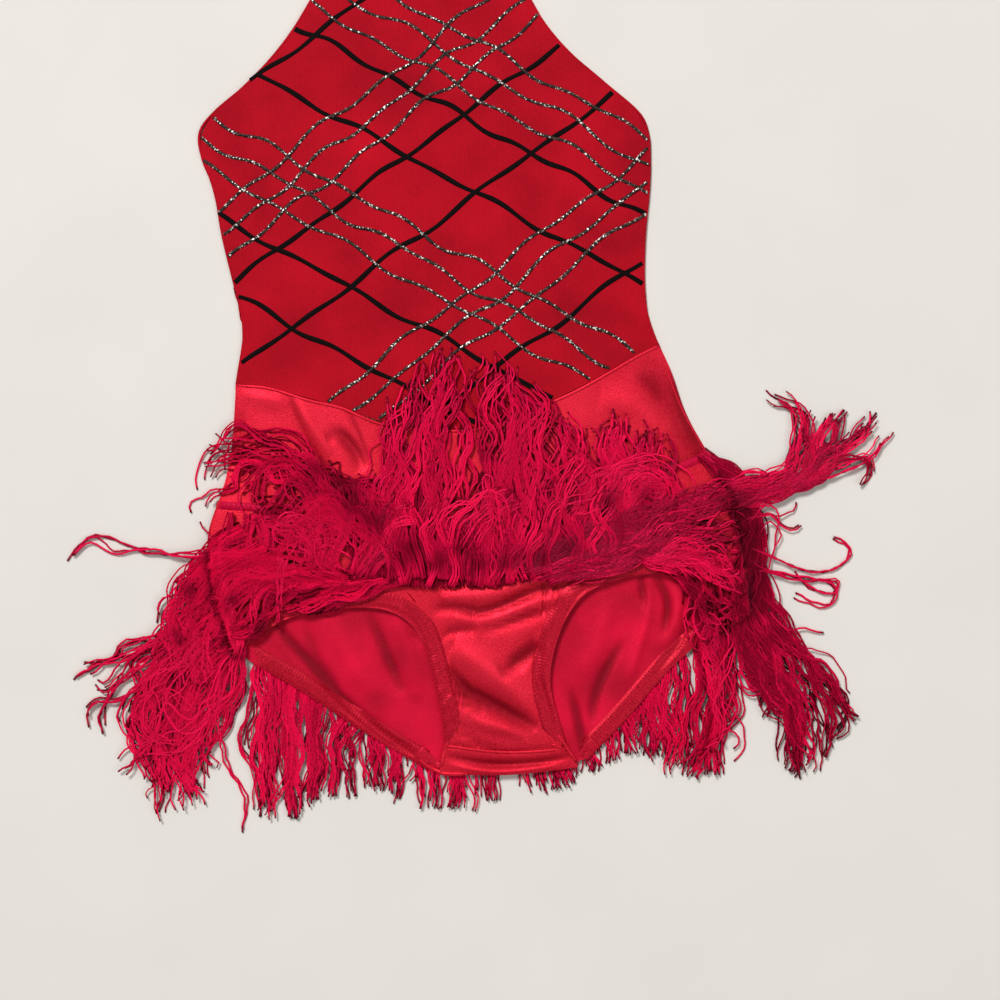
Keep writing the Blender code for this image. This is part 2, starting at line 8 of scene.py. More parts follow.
import logging
import math
from dataclasses import dataclass, field
from enum import Enum
from typing import Iterable, Iterator, Sequence

import bpy
import numpy as np
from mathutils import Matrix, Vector
from mathutils.bvhtree import BVHTree


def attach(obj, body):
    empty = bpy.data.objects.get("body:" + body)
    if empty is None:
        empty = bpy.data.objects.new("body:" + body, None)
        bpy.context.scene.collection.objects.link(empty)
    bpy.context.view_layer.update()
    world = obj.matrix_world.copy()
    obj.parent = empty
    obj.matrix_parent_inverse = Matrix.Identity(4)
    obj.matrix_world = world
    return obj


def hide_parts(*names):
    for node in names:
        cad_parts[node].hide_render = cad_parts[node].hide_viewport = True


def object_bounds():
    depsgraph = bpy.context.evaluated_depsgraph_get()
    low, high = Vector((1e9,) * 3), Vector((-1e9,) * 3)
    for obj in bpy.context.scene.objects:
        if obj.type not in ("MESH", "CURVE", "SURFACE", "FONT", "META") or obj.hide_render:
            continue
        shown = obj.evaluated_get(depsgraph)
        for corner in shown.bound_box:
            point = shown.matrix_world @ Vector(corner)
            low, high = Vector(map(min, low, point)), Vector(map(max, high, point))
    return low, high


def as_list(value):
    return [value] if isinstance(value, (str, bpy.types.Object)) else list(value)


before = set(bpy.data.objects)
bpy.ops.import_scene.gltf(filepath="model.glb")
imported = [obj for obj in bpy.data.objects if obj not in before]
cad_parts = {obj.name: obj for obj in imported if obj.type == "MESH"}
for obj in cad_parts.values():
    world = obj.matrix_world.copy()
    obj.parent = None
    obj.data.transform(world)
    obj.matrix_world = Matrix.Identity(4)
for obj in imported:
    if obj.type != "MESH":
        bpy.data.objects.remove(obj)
CAD_BOX = [list(corner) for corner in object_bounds()]

log = logging.getLogger("leotard")

MM = 0.001
BODY = "root"
PICTURE_SIDE = 1000
PICTURE_SPAN = 600.0 * MM
MIDDLE_ACROSS = 476.0
MIDDLE_DOWN = 402.0
LENS = 70.0
SENSOR = 36.0
CLOTH_TOP = 6.0 * MM

Way = Sequence[tuple[float, float]]
Parts = dict | None


def on_table(way: Way) -> np.ndarray:
    """Turns places in the photograph into places on the table.

    Args:
        way: pairs of pixels, across and down.

    Returns:
        The same places in metres, one row each.
    """
    spots = np.array(way, float)
    scale = PICTURE_SPAN / PICTURE_SIDE
    return np.column_stack(((spots[:, 0] - MIDDLE_ACROSS) * scale, (MIDDLE_DOWN - spots[:, 1]) * scale))


def runs_along(way: np.ndarray) -> np.ndarray:
    """How far along a way each of its places is."""
    return np.concatenate(([0.0], np.cumsum(np.linalg.norm(np.diff(way, axis=0), axis=1))))


def headings(way: np.ndarray) -> np.ndarray:
    """The direction of a way at each of its places."""
    ahead = np.gradient(way, axis=0)
    return ahead / np.maximum(np.linalg.norm(ahead, axis=1), 1e-9)[:, None]


def divided(way: np.ndarray, run: np.ndarray, count: int) -> np.ndarray:
    """Places evenly spaced along a way, whose own places lie at these runs."""
    at = np.linspace(0.0, run[-1], count)
    return np.column_stack([np.interp(at, run, way[:, k]) for k in range(way.shape[1])])


def smooth_way(points: np.ndarray, count: int = 0, step: float = 3.0 * MM) -> np.ndarray:
    """Runs one smooth curve through points and spaces places evenly along it.

    Args:
        points: the places it passes, one row each.
        count: how many places to return, or 0 to go by step.
        step: the distance between places where count is 0.

    Returns:
        The places, one row each.
    """
    pts = np.asarray(points, float)
    if len(pts) > 2:
        ends = np.vstack((2 * pts[0] - pts[1], pts, 2 * pts[-1] - pts[-2]))
        t = np.linspace(0.0, 1.0, 12, endpoint=False)[:, None]
        spans = []
        for a, b, c, d in zip(ends, ends[1:], ends[2:], ends[3:]):
            square = (2 * a - 5 * b + 4 * c - d) * t**2
            cube = (3 * b - a - 3 * c + d) * t**3
            spans.append(0.5 * (2 * b + (c - a) * t + square + cube))
        pts = np.vstack(spans + [pts[-1:]])
    run = runs_along(pts)
    return divided(pts, run, count or max(3, int(round(run[-1] / step)) + 1))


def dense_way(way: np.ndarray, step: float) -> np.ndarray:
    """Adds places between a way's own, straight from one to the next."""
    run = runs_along(way)
    return divided(way, run, max(3, int(run[-1] / step)))


def beside(line: np.ndarray, offset: float | np.ndarray) -> np.ndarray:
    """The line moved sideways, to its left where offset is above 0."""
    ahead = headings(line)
    return line + np.column_stack((-ahead[:, 1], ahead[:, 0])) * np.reshape(offset, (-1, 1))


def in_mm(places: Way) -> np.ndarray:
    """Places given in mm on the table, in metres."""
    return np.array(places, float) * MM


def evened(values: np.ndarray) -> np.ndarray:
    """Each value averaged with the two on either side."""
    return np.convolve(np.pad(values, 2, mode="edge"), np.full(5, 0.2), mode="valid")


def placed(name: str, data: bpy.types.ID) -> bpy.types.Object:
    """Puts a mesh, lamp or lens in the scene as a new object."""
    obj = bpy.data.objects.new(name, data)
    bpy.context.scene.collection.objects.link(obj)
    return obj


class Slot(Enum):
    """The record's material slots."""

    RIB = "ribbed_cloth"
    SATIN = "satin"
    INSIDE = "satin_inside"
    HEM = "elastic_hem"
    YARN = "fringe_yarn"


class Wire:
    """A shader value that takes part in Python arithmetic."""

    def __init__(self, recipe: "Recipe", socket: bpy.types.NodeSocket) -> None:
        """Keeps the recipe that owns the nodes and the socket that carries the value."""
        self.recipe = recipe
        self.socket = socket

    def maths(self, operation: str, *others: "Wire | float", first: bool = True) -> "Wire":
        """Adds one Math node.

        Args:
            operation: the node's operation.
            others: its other values.
            first: whether this value is the node's first.

        Returns:
            The node's result.
        """
        values = [self, *others] if first else [*others, self]
        node = self.recipe.node("ShaderNodeMath", {"operation": operation}, dict(enumerate(values)))
        return Wire(self.recipe, node.outputs[0])

    def __add__(self, other: "Wire | float") -> "Wire":
        """Adds."""
        return self.maths("ADD", other)

    def __sub__(self, other: "Wire | float") -> "Wire":
        """Takes away."""
        return self.maths("SUBTRACT", other)

    def __rsub__(self, other: float) -> "Wire":
        """Takes this value away from a number."""
        return self.maths("SUBTRACT", other, first=False)

    def __mul__(self, other: "Wire | float") -> "Wire":
        """Multiplies."""
        return self.maths("MULTIPLY", other)

    __radd__ = __add__
    __rmul__ = __mul__

    def ripple(self) -> "Wire":
        """A wave from 0 to 1 whose phase is this value."""
        return self.maths("SINE") * 0.5 + 0.5

    def between(self, low: float, high: float) -> "Wire":
        """Runs from 0 at low to 1 at high, and stays between them."""
        inputs = {"Value": self, "From Min": low, "From Max": high}
        return self.recipe.wire("ShaderNodeMapRange", 0, {"clamp": True}, inputs)


class Recipe:
    """The node tree of one finish while it is being made."""

    def __init__(self, name: str) -> None:
        """Starts an empty material with this name."""
        self.material = bpy.data.materials.new(name)
        self.material.use_nodes = True
        self.tree = self.material.node_tree
        self.tree.nodes.clear()

    def node(self, kind: str, settings: Parts = None, inputs: Parts = None) -> bpy.types.Node:
        """Adds a node.

        Args:
            kind: the node's type.
            settings: its own settings, such as operation.
            inputs: a value, colour or Wire for each input, by name or number.

        Returns:
            The node.
        """
        made = self.tree.nodes.new(kind)
        for key, value in (settings or {}).items():
            setattr(made, key, value)
        for key, value in (inputs or {}).items():
            named = [s for s in made.inputs if s.identifier == key]
            socket = named[0] if named else made.inputs[key]
            if isinstance(value, Wire):
                self.tree.links.new(value.socket, socket)
            elif isinstance(value, tuple) and len(value) == 3 and socket.type == "RGBA":
                socket.default_value = (*value, 1.0)
            else:
                socket.default_value = value
        return made

    def wire(self, kind: str, output: str | int = 0, settings: Parts = None, inputs: Parts = None) -> Wire:
        """Adds a node and returns one of its outputs."""
        return Wire(self, self.node(kind, settings, inputs).outputs[output])

    def place(self) -> Wire:
        """The place on the piece, in metres."""
        return self.wire("ShaderNodeTexCoord", "Object")

    def stretched(self, place: Wire, scale: tuple[float, float, float]) -> Wire:
        """The place, scaled along each axis."""
        return self.wire("ShaderNodeMapping", 0, {}, {"Vector": place, "Scale": scale})

    def noise(self, place: Wire, size: float, detail: float = 2.0, rough: float = 0.5) -> Wire:
        """Cloudy noise whose clouds are about size metres across."""
        inputs = {"Vector": place, "Scale": 1.0 / size, "Detail": detail, "Roughness": rough}
        return self.wire("ShaderNodeTexNoise", 0, {}, inputs)

    def attribute(self, name: str) -> Wire:
        """A value that the piece's points carry."""
        return self.wire("ShaderNodeAttribute", "Fac", {"attribute_name": name})

    def mix(self, factor: Wire | float, first: Wire | tuple, second: Wire | tuple) -> Wire:
        """Mixes two colours."""
        inputs = {"Factor_Float": factor, "A_Color": first, "B_Color": second}
        return self.wire("ShaderNodeMix", 2, {"data_type": "RGBA"}, inputs)

    def bump(self, height: Wire, distance: float) -> Wire:
        """Turns a height from 0 to 1 into a normal."""
        return self.wire("ShaderNodeBump", 0, {}, {"Height": height, "Distance": distance, "Strength": 1.0})

    def finish(self, varying: dict, constants: dict) -> bpy.types.Material:
        """Adds the shader and the output.

        Args:
            varying: what changes over the surface, by socket.
            constants: what is the same all over.

        Returns:
            The finished material.
        """
        shader = self.node("ShaderNodeBsdfPrincipled", {}, {**constants, **varying})
        self.node("ShaderNodeOutputMaterial", {}, {"Surface": Wire(self, shader.outputs[0])})
        return self.material


def shade(red: int, green: int, blue: int) -> tuple[float, float, float]:
    """A colour given as a screen shows it, as the shader wants it."""
    parts = (c / 255 for c in (red, green, blue))
    return tuple(c / 12.92 if c <= 0.04045 else ((c + 0.055) / 1.055) ** 2.4 for c in parts)


@dataclass(frozen=True)
class RibbedCloth:
    """The bodice's matt stretch cloth, with fine ribs down its length."""

    deep: tuple = shade(142, 11, 26)
    bright: tuple = shade(202, 18, 38)
    rib: float = 1.3 * MM

    def material(self) -> bpy.types.Material:
        """Makes the finish."""
        r = Recipe("ribbed_cloth_dressed")
        place = r.place()
        across = r.wire("ShaderNodeSeparateXYZ", 0, {}, {"Vector": place})
        wobble = r.noise(place, 14 * MM) * 0.5
        rib = (across * (2 * math.pi / self.rib) + wobble).ripple()
        stitch = r.noise(r.stretched(place, (1.0, 0.45, 1.0)), 0.9 * MM, 3.0, 0.7)
        cloud = r.noise(place, 42 * MM, 3.0).between(0.33, 0.68)
        # fold lightens crease ridges and darkens crease valleys: painted highlight and painted shade.
        light = cloud * 0.45 + stitch.between(0.3, 0.72) * 0.33 + rib * 0.22 + r.attribute("fold") * 0.3
        colour = r.mix(light, self.deep, self.bright)
        height = rib * 0.6 + stitch * 0.4
        return r.finish(
            {"Base Color": colour, "Normal": r.bump(height, 0.22 * MM), "Roughness": stitch * 0.2 + 0.68},
            {"Specular IOR Level": 0.25, "Specular Tint": (1.0, 0.15, 0.2, 1.0)},
        )


@dataclass(frozen=True)
class Satin:
    """Stretch satin: a soft gloss with a fine grain that lightens the colour in specks as a painted glint,
    with painted shade down in the folds and painted highlight on their ridges.
    """

    name: str = "satin_dressed"
    deep: tuple = shade(186, 8, 36)
    bright: tuple = shade(250, 46, 72)
    grain: float = 0.8 * MM
    gloss: float = 0.32
    painted_glint: float = 0.62
    metal: float = 0.5
    # The painted shade's colour in the crease valleys.
    valley_painted_shade: tuple = shade(112, 0, 18)

    def material(self) -> bpy.types.Material:
        """Makes the finish."""
        r = Recipe(self.name)
        place = r.place()
        grain = r.noise(r.stretched(place, (1.0, 0.8, 1.0)), self.grain, 2.0, 0.6)
        glint = grain.between(0.52, 0.74)
        cloud = r.noise(place, 36 * MM, 2.0).between(0.3, 0.7)
        fold = r.attribute("fold")
        # Painted glint: the grain lightens the colour in fine specks. fold adds painted highlight on crease
        # ridges.
        light = cloud * (1 - self.painted_glint) * 0.8 + grain.between(0.35, 0.75) * self.painted_glint + fold * 0.12
        colour = r.mix(light, self.deep, self.bright)
        # Painted shade: the colour darkens towards a deep red where creases press down.
        colour = r.mix((0.0 - fold).between(0.35, 2.4) * 0.72, colour, self.valley_painted_shade)
        return r.finish(
            {
                "Base Color": colour,
                "Roughness": self.gloss + 0.16 - glint * 0.16,
                "Normal": r.bump(grain, 0.16 * MM),
            },
            {"Specular IOR Level": 0.5, "Specular Tint": (1.0, 0.3, 0.35, 1.0), "Metallic": self.metal},
        )


@dataclass(frozen=True)
class ElasticHem:
    """Satin turned over elastic, gathered into fine ridges across the band, lighter along its leg edge as a
    painted highlight and lightened in specks by its grain as a painted glint.
    """

    deep: tuple = shade(150, 2, 26)
    bright: tuple = shade(234, 28, 62)
    ridge: float = 1.8 * MM

    def material(self) -> bpy.types.Material:
        """Makes the finish."""
        r = Recipe("elastic_hem_dressed")
        along, across = r.attribute("along"), r.attribute("across")
        place = r.place()
        uneven = r.noise(place, 5 * MM, 2.0) * 5.0
        ridge = (along * (2 * math.pi / self.ridge) + uneven).ripple()
        clear = 1 - across.between(8.6 * MM, 10.4 * MM)
        band = across.between(1.0 * MM, 3.0 * MM) * clear * r.noise(place, 16 * MM).between(0.35, 0.65)
        grain = r.noise(place, 0.8 * MM, 2.0, 0.6)
        relief = ridge * band * 0.7 + grain * 0.3
        # edge lightens the band along its rolled leg edge, a painted highlight; the grain below lightens it
        # in specks, a painted glint.
        edge = 1 - across.between(0.0, 1.6 * MM)
        light = grain.between(0.35, 0.7) * 0.6 + ridge * band * 0.25 + edge * 0.15
        colour = r.mix(light, self.deep, self.bright)
        return r.finish(
            {"Base Color": colour, "Roughness": 0.52 - grain * 0.16, "Normal": r.bump(relief, 0.2 * MM)},
            {"Specular IOR Level": 0.5, "Specular Tint": (1.0, 0.3, 0.35, 1.0), "Metallic": 0.35},
        )


@dataclass(frozen=True)
class FringeYarn:
    """Twisted rayon yarn. Each strand's brightness comes from its attribute, which holds the yarn's own
    shade together with painted shade, turning towards the painted shadow colour where it is darkest.
    """

    shadow: tuple = shade(44, 0, 8)
    deep: tuple = shade(156, 2, 40)
    bright: tuple = shade(246, 16, 78)
    twist: float = 3.0 * MM

    def material(self) -> bpy.types.Material:
        """Makes the finish."""
        r = Recipe("fringe_yarn_dressed")
        uv = r.wire("ShaderNodeUVMap", 0, {"uv_map": "strand"})
        parts = r.node("ShaderNodeSeparateXYZ", {}, {"Vector": uv})
        around, along = Wire(r, parts.outputs[0]), Wire(r, parts.outputs[1])
        turn = (around * (2 * math.pi) + along * (2 * math.pi * MM / self.twist)).ripple()
        tone = r.attribute("tone")
        fuzz = r.noise(r.place(), 1.1 * MM, 2.0, 0.6)
        light = tone.between(0.35, 1.0) * 0.85 + turn * 0.1 + fuzz * 0.1
        colour = r.mix(light, self.deep, self.bright)
        # Painted shadow: the darkest strands turn towards the shadow colour.
        colour = r.mix(tone.between(0.0, 0.4), self.shadow, colour)
        relief = turn * 0.7 + fuzz * 0.3
        return r.finish(
            {"Base Color": colour, "Normal": r.bump(relief, 0.12 * MM), "Roughness": 0.6 - turn * 0.15},
            {"Specular IOR Level": 0.45, "Specular Tint": (1.0, 0.12, 0.32, 1.0)},
        )


@dataclass(frozen=True)
class BlackTrim:
    """Flat black trim of the wide diamonds."""

    def material(self) -> bpy.types.Material:
        """Makes the finish."""
        r = Recipe("black_trim")
        weave = r.noise(r.place(), 0.7 * MM, 2.0)
        colour = r.mix(weave.between(0.3, 0.8), shade(3, 0, 1), shade(18, 3, 5))
        return r.finish(
            {"Base Color": colour, "Roughness": 0.85 - weave * 0.2, "Normal": r.bump(weave, 0.2 * MM)},
            {"Specular IOR Level": 0.1},
        )


@dataclass(frozen=True)
class GlitterTrim:
    """Raised trim full of glitter grains."""

    grain: float = 0.75 * MM

    def material(self) -> bpy.types.Material:
        """Makes the finish."""
        r = Recipe("glitter_trim")
        place = r.place()
        cells = r.node("ShaderNodeTexVoronoi", {}, {"Vector": place, "Scale": 1.0 / self.grain})
        pick = r.wire("ShaderNodeSeparateColor", 0, {}, {"Color": Wire(r, cells.outputs["Color"])})
        speck = pick.between(0.62, 0.86)
        bright = pick.between(0.88, 0.9)
        base = r.mix(r.noise(place, 2.2 * MM).between(0.4, 0.6), shade(20, 12, 12), shade(52, 34, 30))
        # Mid specks: the glitter grains' own pale colour.
        colour = r.mix(speck * 0.4, base, shade(130, 108, 98))
        # The whitest specks are painted glints.
        colour = r.mix(bright, colour, shade(255, 250, 244))
        return r.finish(
            {
                "Base Color": colour,
                "Metallic": speck * 0.3,
                "Roughness": 0.6 - speck * 0.2,
                "Normal": r.bump(pick, 0.3 * MM),
            },
            {"Specular IOR Level": 0.3},
        )


@dataclass(frozen=True)
class SewingThread:
    """Shiny sewing thread, a little pinker than the cloth."""

    def material(self) -> bpy.types.Material:
        """Makes the finish."""
        r = Recipe("sewing_thread")
        fuzz = r.noise(r.place(), 1.4 * MM, 2.0)
        colour = r.mix(fuzz.between(0.3, 0.7), shade(176, 6, 36), shade(228, 30, 62))
        return r.finish(
            {"Base Color": colour, "Roughness": 0.55 - fuzz * 0.2},
            {"Specular IOR Level": 0.4, "Specular Tint": (1.0, 0.2, 0.35, 1.0)},
        )


@dataclass(frozen=True)
class TableTop:
    """The plain pale floor."""

    def material(self) -> bpy.types.Material:
        """Makes the finish."""
        r = Recipe("pale_table")
        cloud = r.noise(r.place(), 90 * MM, 2.0)
        colour = r.mix(cloud, shade(224, 221, 218), shade(232, 229, 225))
        return r.finish({"Base Color": colour}, {"Roughness": 0.9, "Specular IOR Level": 0.2})


def only(obj: bpy.types.Object) -> None:
    """Selects one object alone and makes it active."""
    bpy.ops.object.select_all(action="DESELECT")
    obj.select_set(True)
    bpy.context.view_layer.objects.active = obj


def nearest(spots: np.ndarray, line: np.ndarray) -> tuple[np.ndarray, np.ndarray, np.ndarray]:
    """Finds where each place is beside a line.

    Args:
        spots: places on the table, one row each.
        line: the line's places in order.

    Returns:
        How far each is from the line, above 0 on its left and below on its right, and how far
        along the line it is, from 0 to 1 and in metres.
    """
    best = np.full(len(spots), 9.0)
    side = np.zeros(len(spots))
    part = np.zeros(len(spots))
    run = np.zeros(len(spots))
    passed = 0.0
    for i, (a, b) in enumerate(zip(line, line[1:])):
        d = b - a
        size = max(np.hypot(*d), 1e-9)
        t = np.clip(((spots - a) @ d) / size**2, 0.0, 1.0)
        gap = spots - (a + t[:, None] * d)
        far = np.hypot(gap[:, 0], gap[:, 1])
        closer = far < best
        best = np.where(closer, far, best)
        side = np.where(closer, d[0] * gap[:, 1] - d[1] * gap[:, 0], side)
        part = np.where(closer, (i + t) / (len(line) - 1), part)
        run = np.where(closer, passed + t * size, run)
        passed += size
    return np.where(side > 0, best, -best), part, run


def mesh_points(obj: bpy.types.Object) -> np.ndarray:
    """The places of a mesh's vertices, one row each."""
    spots = np.empty(len(obj.data.vertices) * 3)
    obj.data.vertices.foreach_get("co", spots)
    return spots.reshape(-1, 3)


def set_points(obj: bpy.types.Object, spots: np.ndarray) -> None:
    """Moves a mesh's vertices to these places."""
    obj.data.vertices.foreach_set("co", spots.ravel())
    obj.data.update()


def settle(obj: bpy.types.Object, slot: Slot | None, nodes: Sequence[str] = ()) -> bpy.types.Object:
    """Rides a piece on the garment, hides the solids that it stands for and logs its face count."""
    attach(obj, BODY)
    if nodes:
        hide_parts(*nodes)
    log.info("%s: %d faces", obj.name, len(obj.data.polygons))
    return obj


@dataclass(frozen=True)
class Crease:
    """One crease or fold pressed into the cloth.

    way is in the photograph's places, height in mm (below 0 it presses down), and near and far are the half
    widths in mm on its left and right side, as one walks along it. The height also goes into the fold
    attribute, from which the finishes paint shade into the valleys and highlight onto the ridges.
    """

    way: Way
    height: float
    near: float
    far: float

    def rise(self, spots: np.ndarray) -> np.ndarray:
        """How far the crease lifts each place, in metres.

        Args:
            spots: places on the table, one row each.

        Returns:
            One height for each place.
        """
        gap, along, _ = nearest(spots, smooth_way(on_table(self.way), 14))
        width = np.where(gap > 0, self.near, self.far) * MM
        fade = np.sqrt(np.clip(np.sin(np.pi * along), 0.0, 1.0))
        return self.height * MM * np.exp(-((gap / width) ** 2)) * fade


def pressed(obj: bpy.types.Object, creases: Iterable[Crease], deepest: float, lowest: float) -> None:
    """Presses creases into a sheet and notes how far each point was meant to move, in mm, which the finishes
    turn into painted shade in the valleys and painted highlight on the ridges.

    Args:
        obj: the sheet.
        creases: its creases.
        deepest: how far down a fold may press, in metres.
        lowest: the height that no fold presses below.
    """
    spots = mesh_points(obj)
    before = spots[:, 2].copy()
    for crease in creases:
        spots[:, 2] += crease.rise(spots[:, :2])
    fold = obj.data.attributes.new("fold", "FLOAT", "POINT")
    fold.data.foreach_set("value", (spots[:, 2] - before) / MM)
    spots[:, 2] = np.maximum(spots[:, 2], np.maximum(before - deepest, lowest))
    set_points(obj, spots)


# Folds of the front, in the photograph's places. Their heights also set painted shade and highlight in the
# cloth's colour; the broad shallow ones serve mainly as that painted shade and highlight.
FRONT_CREASES = (
    Crease(
        ((430, 609), (457, 606), (481, 611), (510, 601), (534, 590), (558, 587), (585, 580)),
        -2.8, 2.9, 3.9,
    ),
    Crease(((440, 600), (470, 596), (500, 592), (540, 578)), 1.9, 3.9, 3.1),
    Crease(((455, 617), (490, 620), (530, 606), (562, 597)), 1.7, 2.7, 2.7),
    Crease(((478, 629), (502, 622), (534, 612), (558, 603)), -1.9, 2.8, 4.3),
    Crease(((440, 639), (451, 631), (478, 629)), -1.4, 2.3, 2.7),
    Crease(((452, 648), (475, 660), (505, 682), (530, 700)), 2.8, 7.8, 7.0),
    Crease(((499, 671), (519, 660), (538, 643)), -3.0, 5.5, 4.7),
    Crease(((446, 666), (467, 688), (483, 697), (519, 716), (538, 729)), -3.2, 3.5, 5.9),
    Crease(((455, 712), (480, 722), (510, 730), (530, 737)), 1.7, 3.1, 3.1),
    Crease(((443, 747), (478, 745), (507, 751), (560, 747)), -1.2, 1.4, 1.4),
    Crease(((454, 732), (481, 742)), -1.0, 1.2, 1.2),
    Crease(((444, 756), (490, 764), (540, 762), (572, 756)), -2.0, 2.6, 2.4),
    Crease(((450, 766), (500, 772), (560, 765)), 0.9, 1.6, 1.6),
    Crease(((545, 630), (538, 672), (548, 703), (550, 735)), -1.6, 1.9, 2.8),
    Crease(((552, 640), (546, 680), (554, 712)), 1.2, 1.6, 1.9),
    Crease(((447, 690), (462, 694), (476, 698)), -0.8, 1.3, 1.3),
    Crease(((449, 700), (466, 705), (484, 711)), -0.9, 1.3, 1.4),
    Crease(((450, 710), (464, 716), (478, 723)), -0.8, 1.2, 1.3),
    Crease(((451, 721), (462, 727), (473, 734)), -0.7, 1.2, 1.2),
    Crease(((285, 392), (300, 425), (316, 455), (350, 495)), -1.0, 1.8, 3.6),
    Crease(((292, 392), (310, 425), (330, 455)), 0.9, 4.0, 3.0),
    Crease(((325, 436), (340, 434), (354, 448), (364, 470)), -1.9, 3.0, 4.5),
    Crease(((342, 400), (356, 430), (372, 468)), -0.8, 1.6, 2.6),
    Crease(((238, 392), (262, 398), (290, 402)), 0.7, 4.0, 5.0),
    Crease(((240, 412), (236, 440), (228, 470)), -0.8, 4.0, 3.0),
    Crease(((672, 366), (682, 400), (692, 430), (705, 458)), -2.2, 5.5, 5.0),
    Crease(((640, 372), (655, 385), (664, 402)), -0.9, 4.5, 5.0),
    Crease(((600, 400), (640, 408), (668, 430)), 1.1, 9.0, 8.0),
    Crease(((630, 352), (662, 385), (684, 430), (700, 470)), -1.0, 12.0, 14.0),
    Crease(((640, 470), (668, 464), (700, 455)), -0.8, 2.4, 3.0),
    Crease(((232, 150), (262, 185), (270, 240)), -0.6, 7.0, 9.0),
    Crease(((300, 110), (345, 140), (430, 150)), 0.5, 12.0, 14.0),
    Crease(((270, 290), (330, 300), (400, 340)), -0.5, 10.0, 12.0),
    Crease(((560, 200), (600, 240), (640, 250)), -0.6, 9.0, 9.0),
    Crease(((430, 180), (480, 230), (560, 300)), 0.5, 16.0, 18.0),
    Crease(((520, 330), (580, 310), (640, 320)), -0.5, 8.0, 12.0),
)

# Folds of the back, whose inside shows through the leg openings. Their heights also set painted shade and
# highlight in the cloth's colour; the broad shallow ones serve mainly as that painted shade and highlight.
BACK_CREASES = (
    Crease(((640, 574), (643, 590), (646, 608)), -2.0, 2.0, 2.4),
    Crease(((654, 572), (668, 600), (665, 636)), -2.6, 2.2, 2.7),
    Crease(((648, 590), (648, 615), (638, 650), (628, 685)), 2.0, 3.0, 3.4),
    Crease(((624, 640), (606, 672), (595, 700), (593, 724)), -2.5, 2.7, 3.4),
    Crease(((570, 690), (577, 715), (582, 740), (584, 758)), -2.4, 2.4, 3.0),
    Crease(((612, 600), (600, 640), (585, 680)), 1.5, 5.2, 5.2),
    Crease(((676, 588), (678, 615), (662, 648)), 1.4, 3.0, 3.4),
    Crease(((690, 588), (692, 615), (678, 645), (656, 672)), -1.9, 2.2, 2.6),
    Crease(((272, 624), (307, 661), (345, 703), (391, 741), (418, 758)), -3.4, 3.0, 2.4),
    Crease(((303, 618), (315, 655), (340, 690)), -1.2, 3.0, 4.5),
    Crease(((330, 612), (345, 650), (372, 700)), 1.4, 6.0, 6.0),
    Crease(((368, 612), (386, 652), (403, 694)), -2.2, 2.6, 3.6),
    Crease(((395, 608), (408, 650), (418, 700)), 1.2, 4.5, 3.8),
    Crease(((400, 615), (408, 630), (420, 645)), -1.4, 1.7, 2.2),
    Crease(((330, 330), (420, 400), (470, 520)), 0.9, 12.0, 16.0),
    Crease(((560, 260), (530, 380), (540, 470)), 0.8, 10.0, 14.0),
    Crease(((420, 120), (450, 220), (430, 300)), 0.7, 14.0, 18.0),
)


class Side(Enum):
    """The layers of the garment: the creases of each, how deep they press and how low."""

    FRONT = (FRONT_CREASES, 2.6 * MM, 2.0 * MM)
    BACK = (BACK_CREASES, 2.2 * MM, 1.6 * MM)


@dataclass
class ClothShell:
    """One sheet of the garment, on the form of its solid."""

    node: str
    side: Side
    slot: Slot
    finishes: tuple[bpy.types.Material, ...]
    levels: int = 3
    wall: float = 0.8 * MM
    closed: bool = False

    def copied(self) -> bpy.types.Object:
        """Copies the solid's mesh and keeps its upper side."""
        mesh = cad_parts[self.node].data.copy()
        mesh.materials.clear()
        obj = placed(f"{self.node}_cloth", mesh)
        only(obj)
        bpy.ops.object.mode_set(mode="EDIT")
        bpy.ops.mesh.select_mode(type="FACE")
        bpy.ops.mesh.select_all(action="SELECT")
        bpy.ops.mesh.remove_doubles(threshold=0.00002)
        bpy.ops.mesh.select_all(action="DESELECT")
        bpy.ops.object.mode_set(mode="OBJECT")
        if not self.closed:
            for face in mesh.polygons:
                face.select = face.normal.z < 0.5
            bpy.ops.object.mode_set(mode="EDIT")
            bpy.ops.mesh.delete(type="FACE")
            bpy.ops.object.mode_set(mode="OBJECT")
        bpy.ops.object.mode_set(mode="EDIT")
        bpy.ops.mesh.select_all(action="SELECT")
        bpy.ops.mesh.tris_convert_to_quads(face_threshold=math.radians(60), shape_threshold=math.radians(80))
        bpy.ops.object.mode_set(mode="OBJECT")
        return obj

    def build(self) -> bpy.types.Object:
        """Makes the sheet: smoothed, creased and given its thickness."""
        obj = self.copied()
        smooth = obj.modifiers.new("smooth", "SUBSURF")
        smooth.levels = smooth.render_levels = self.levels
        smooth.boundary_smooth = "PRESERVE_CORNERS"
        bpy.ops.object.modifier_apply(modifier="smooth")
        if not self.closed:
            pressed(obj, *self.side.value)
            for material in self.finishes:
                obj.data.materials.append(material)
            wall = obj.modifiers.new("wall", "SOLIDIFY")
            wall.thickness = self.wall
            wall.offset = -1.0
            wall.material_offset = len(self.finishes) - 1
            wall.use_quality_normals = True
            bpy.ops.object.modifier_apply(modifier="wall")
        else:
            obj.data.materials.append(self.finishes[0])
        bpy.ops.object.shade_smooth_by_angle(angle=math.radians(60))
        return settle(obj, self.slot, [self.node])


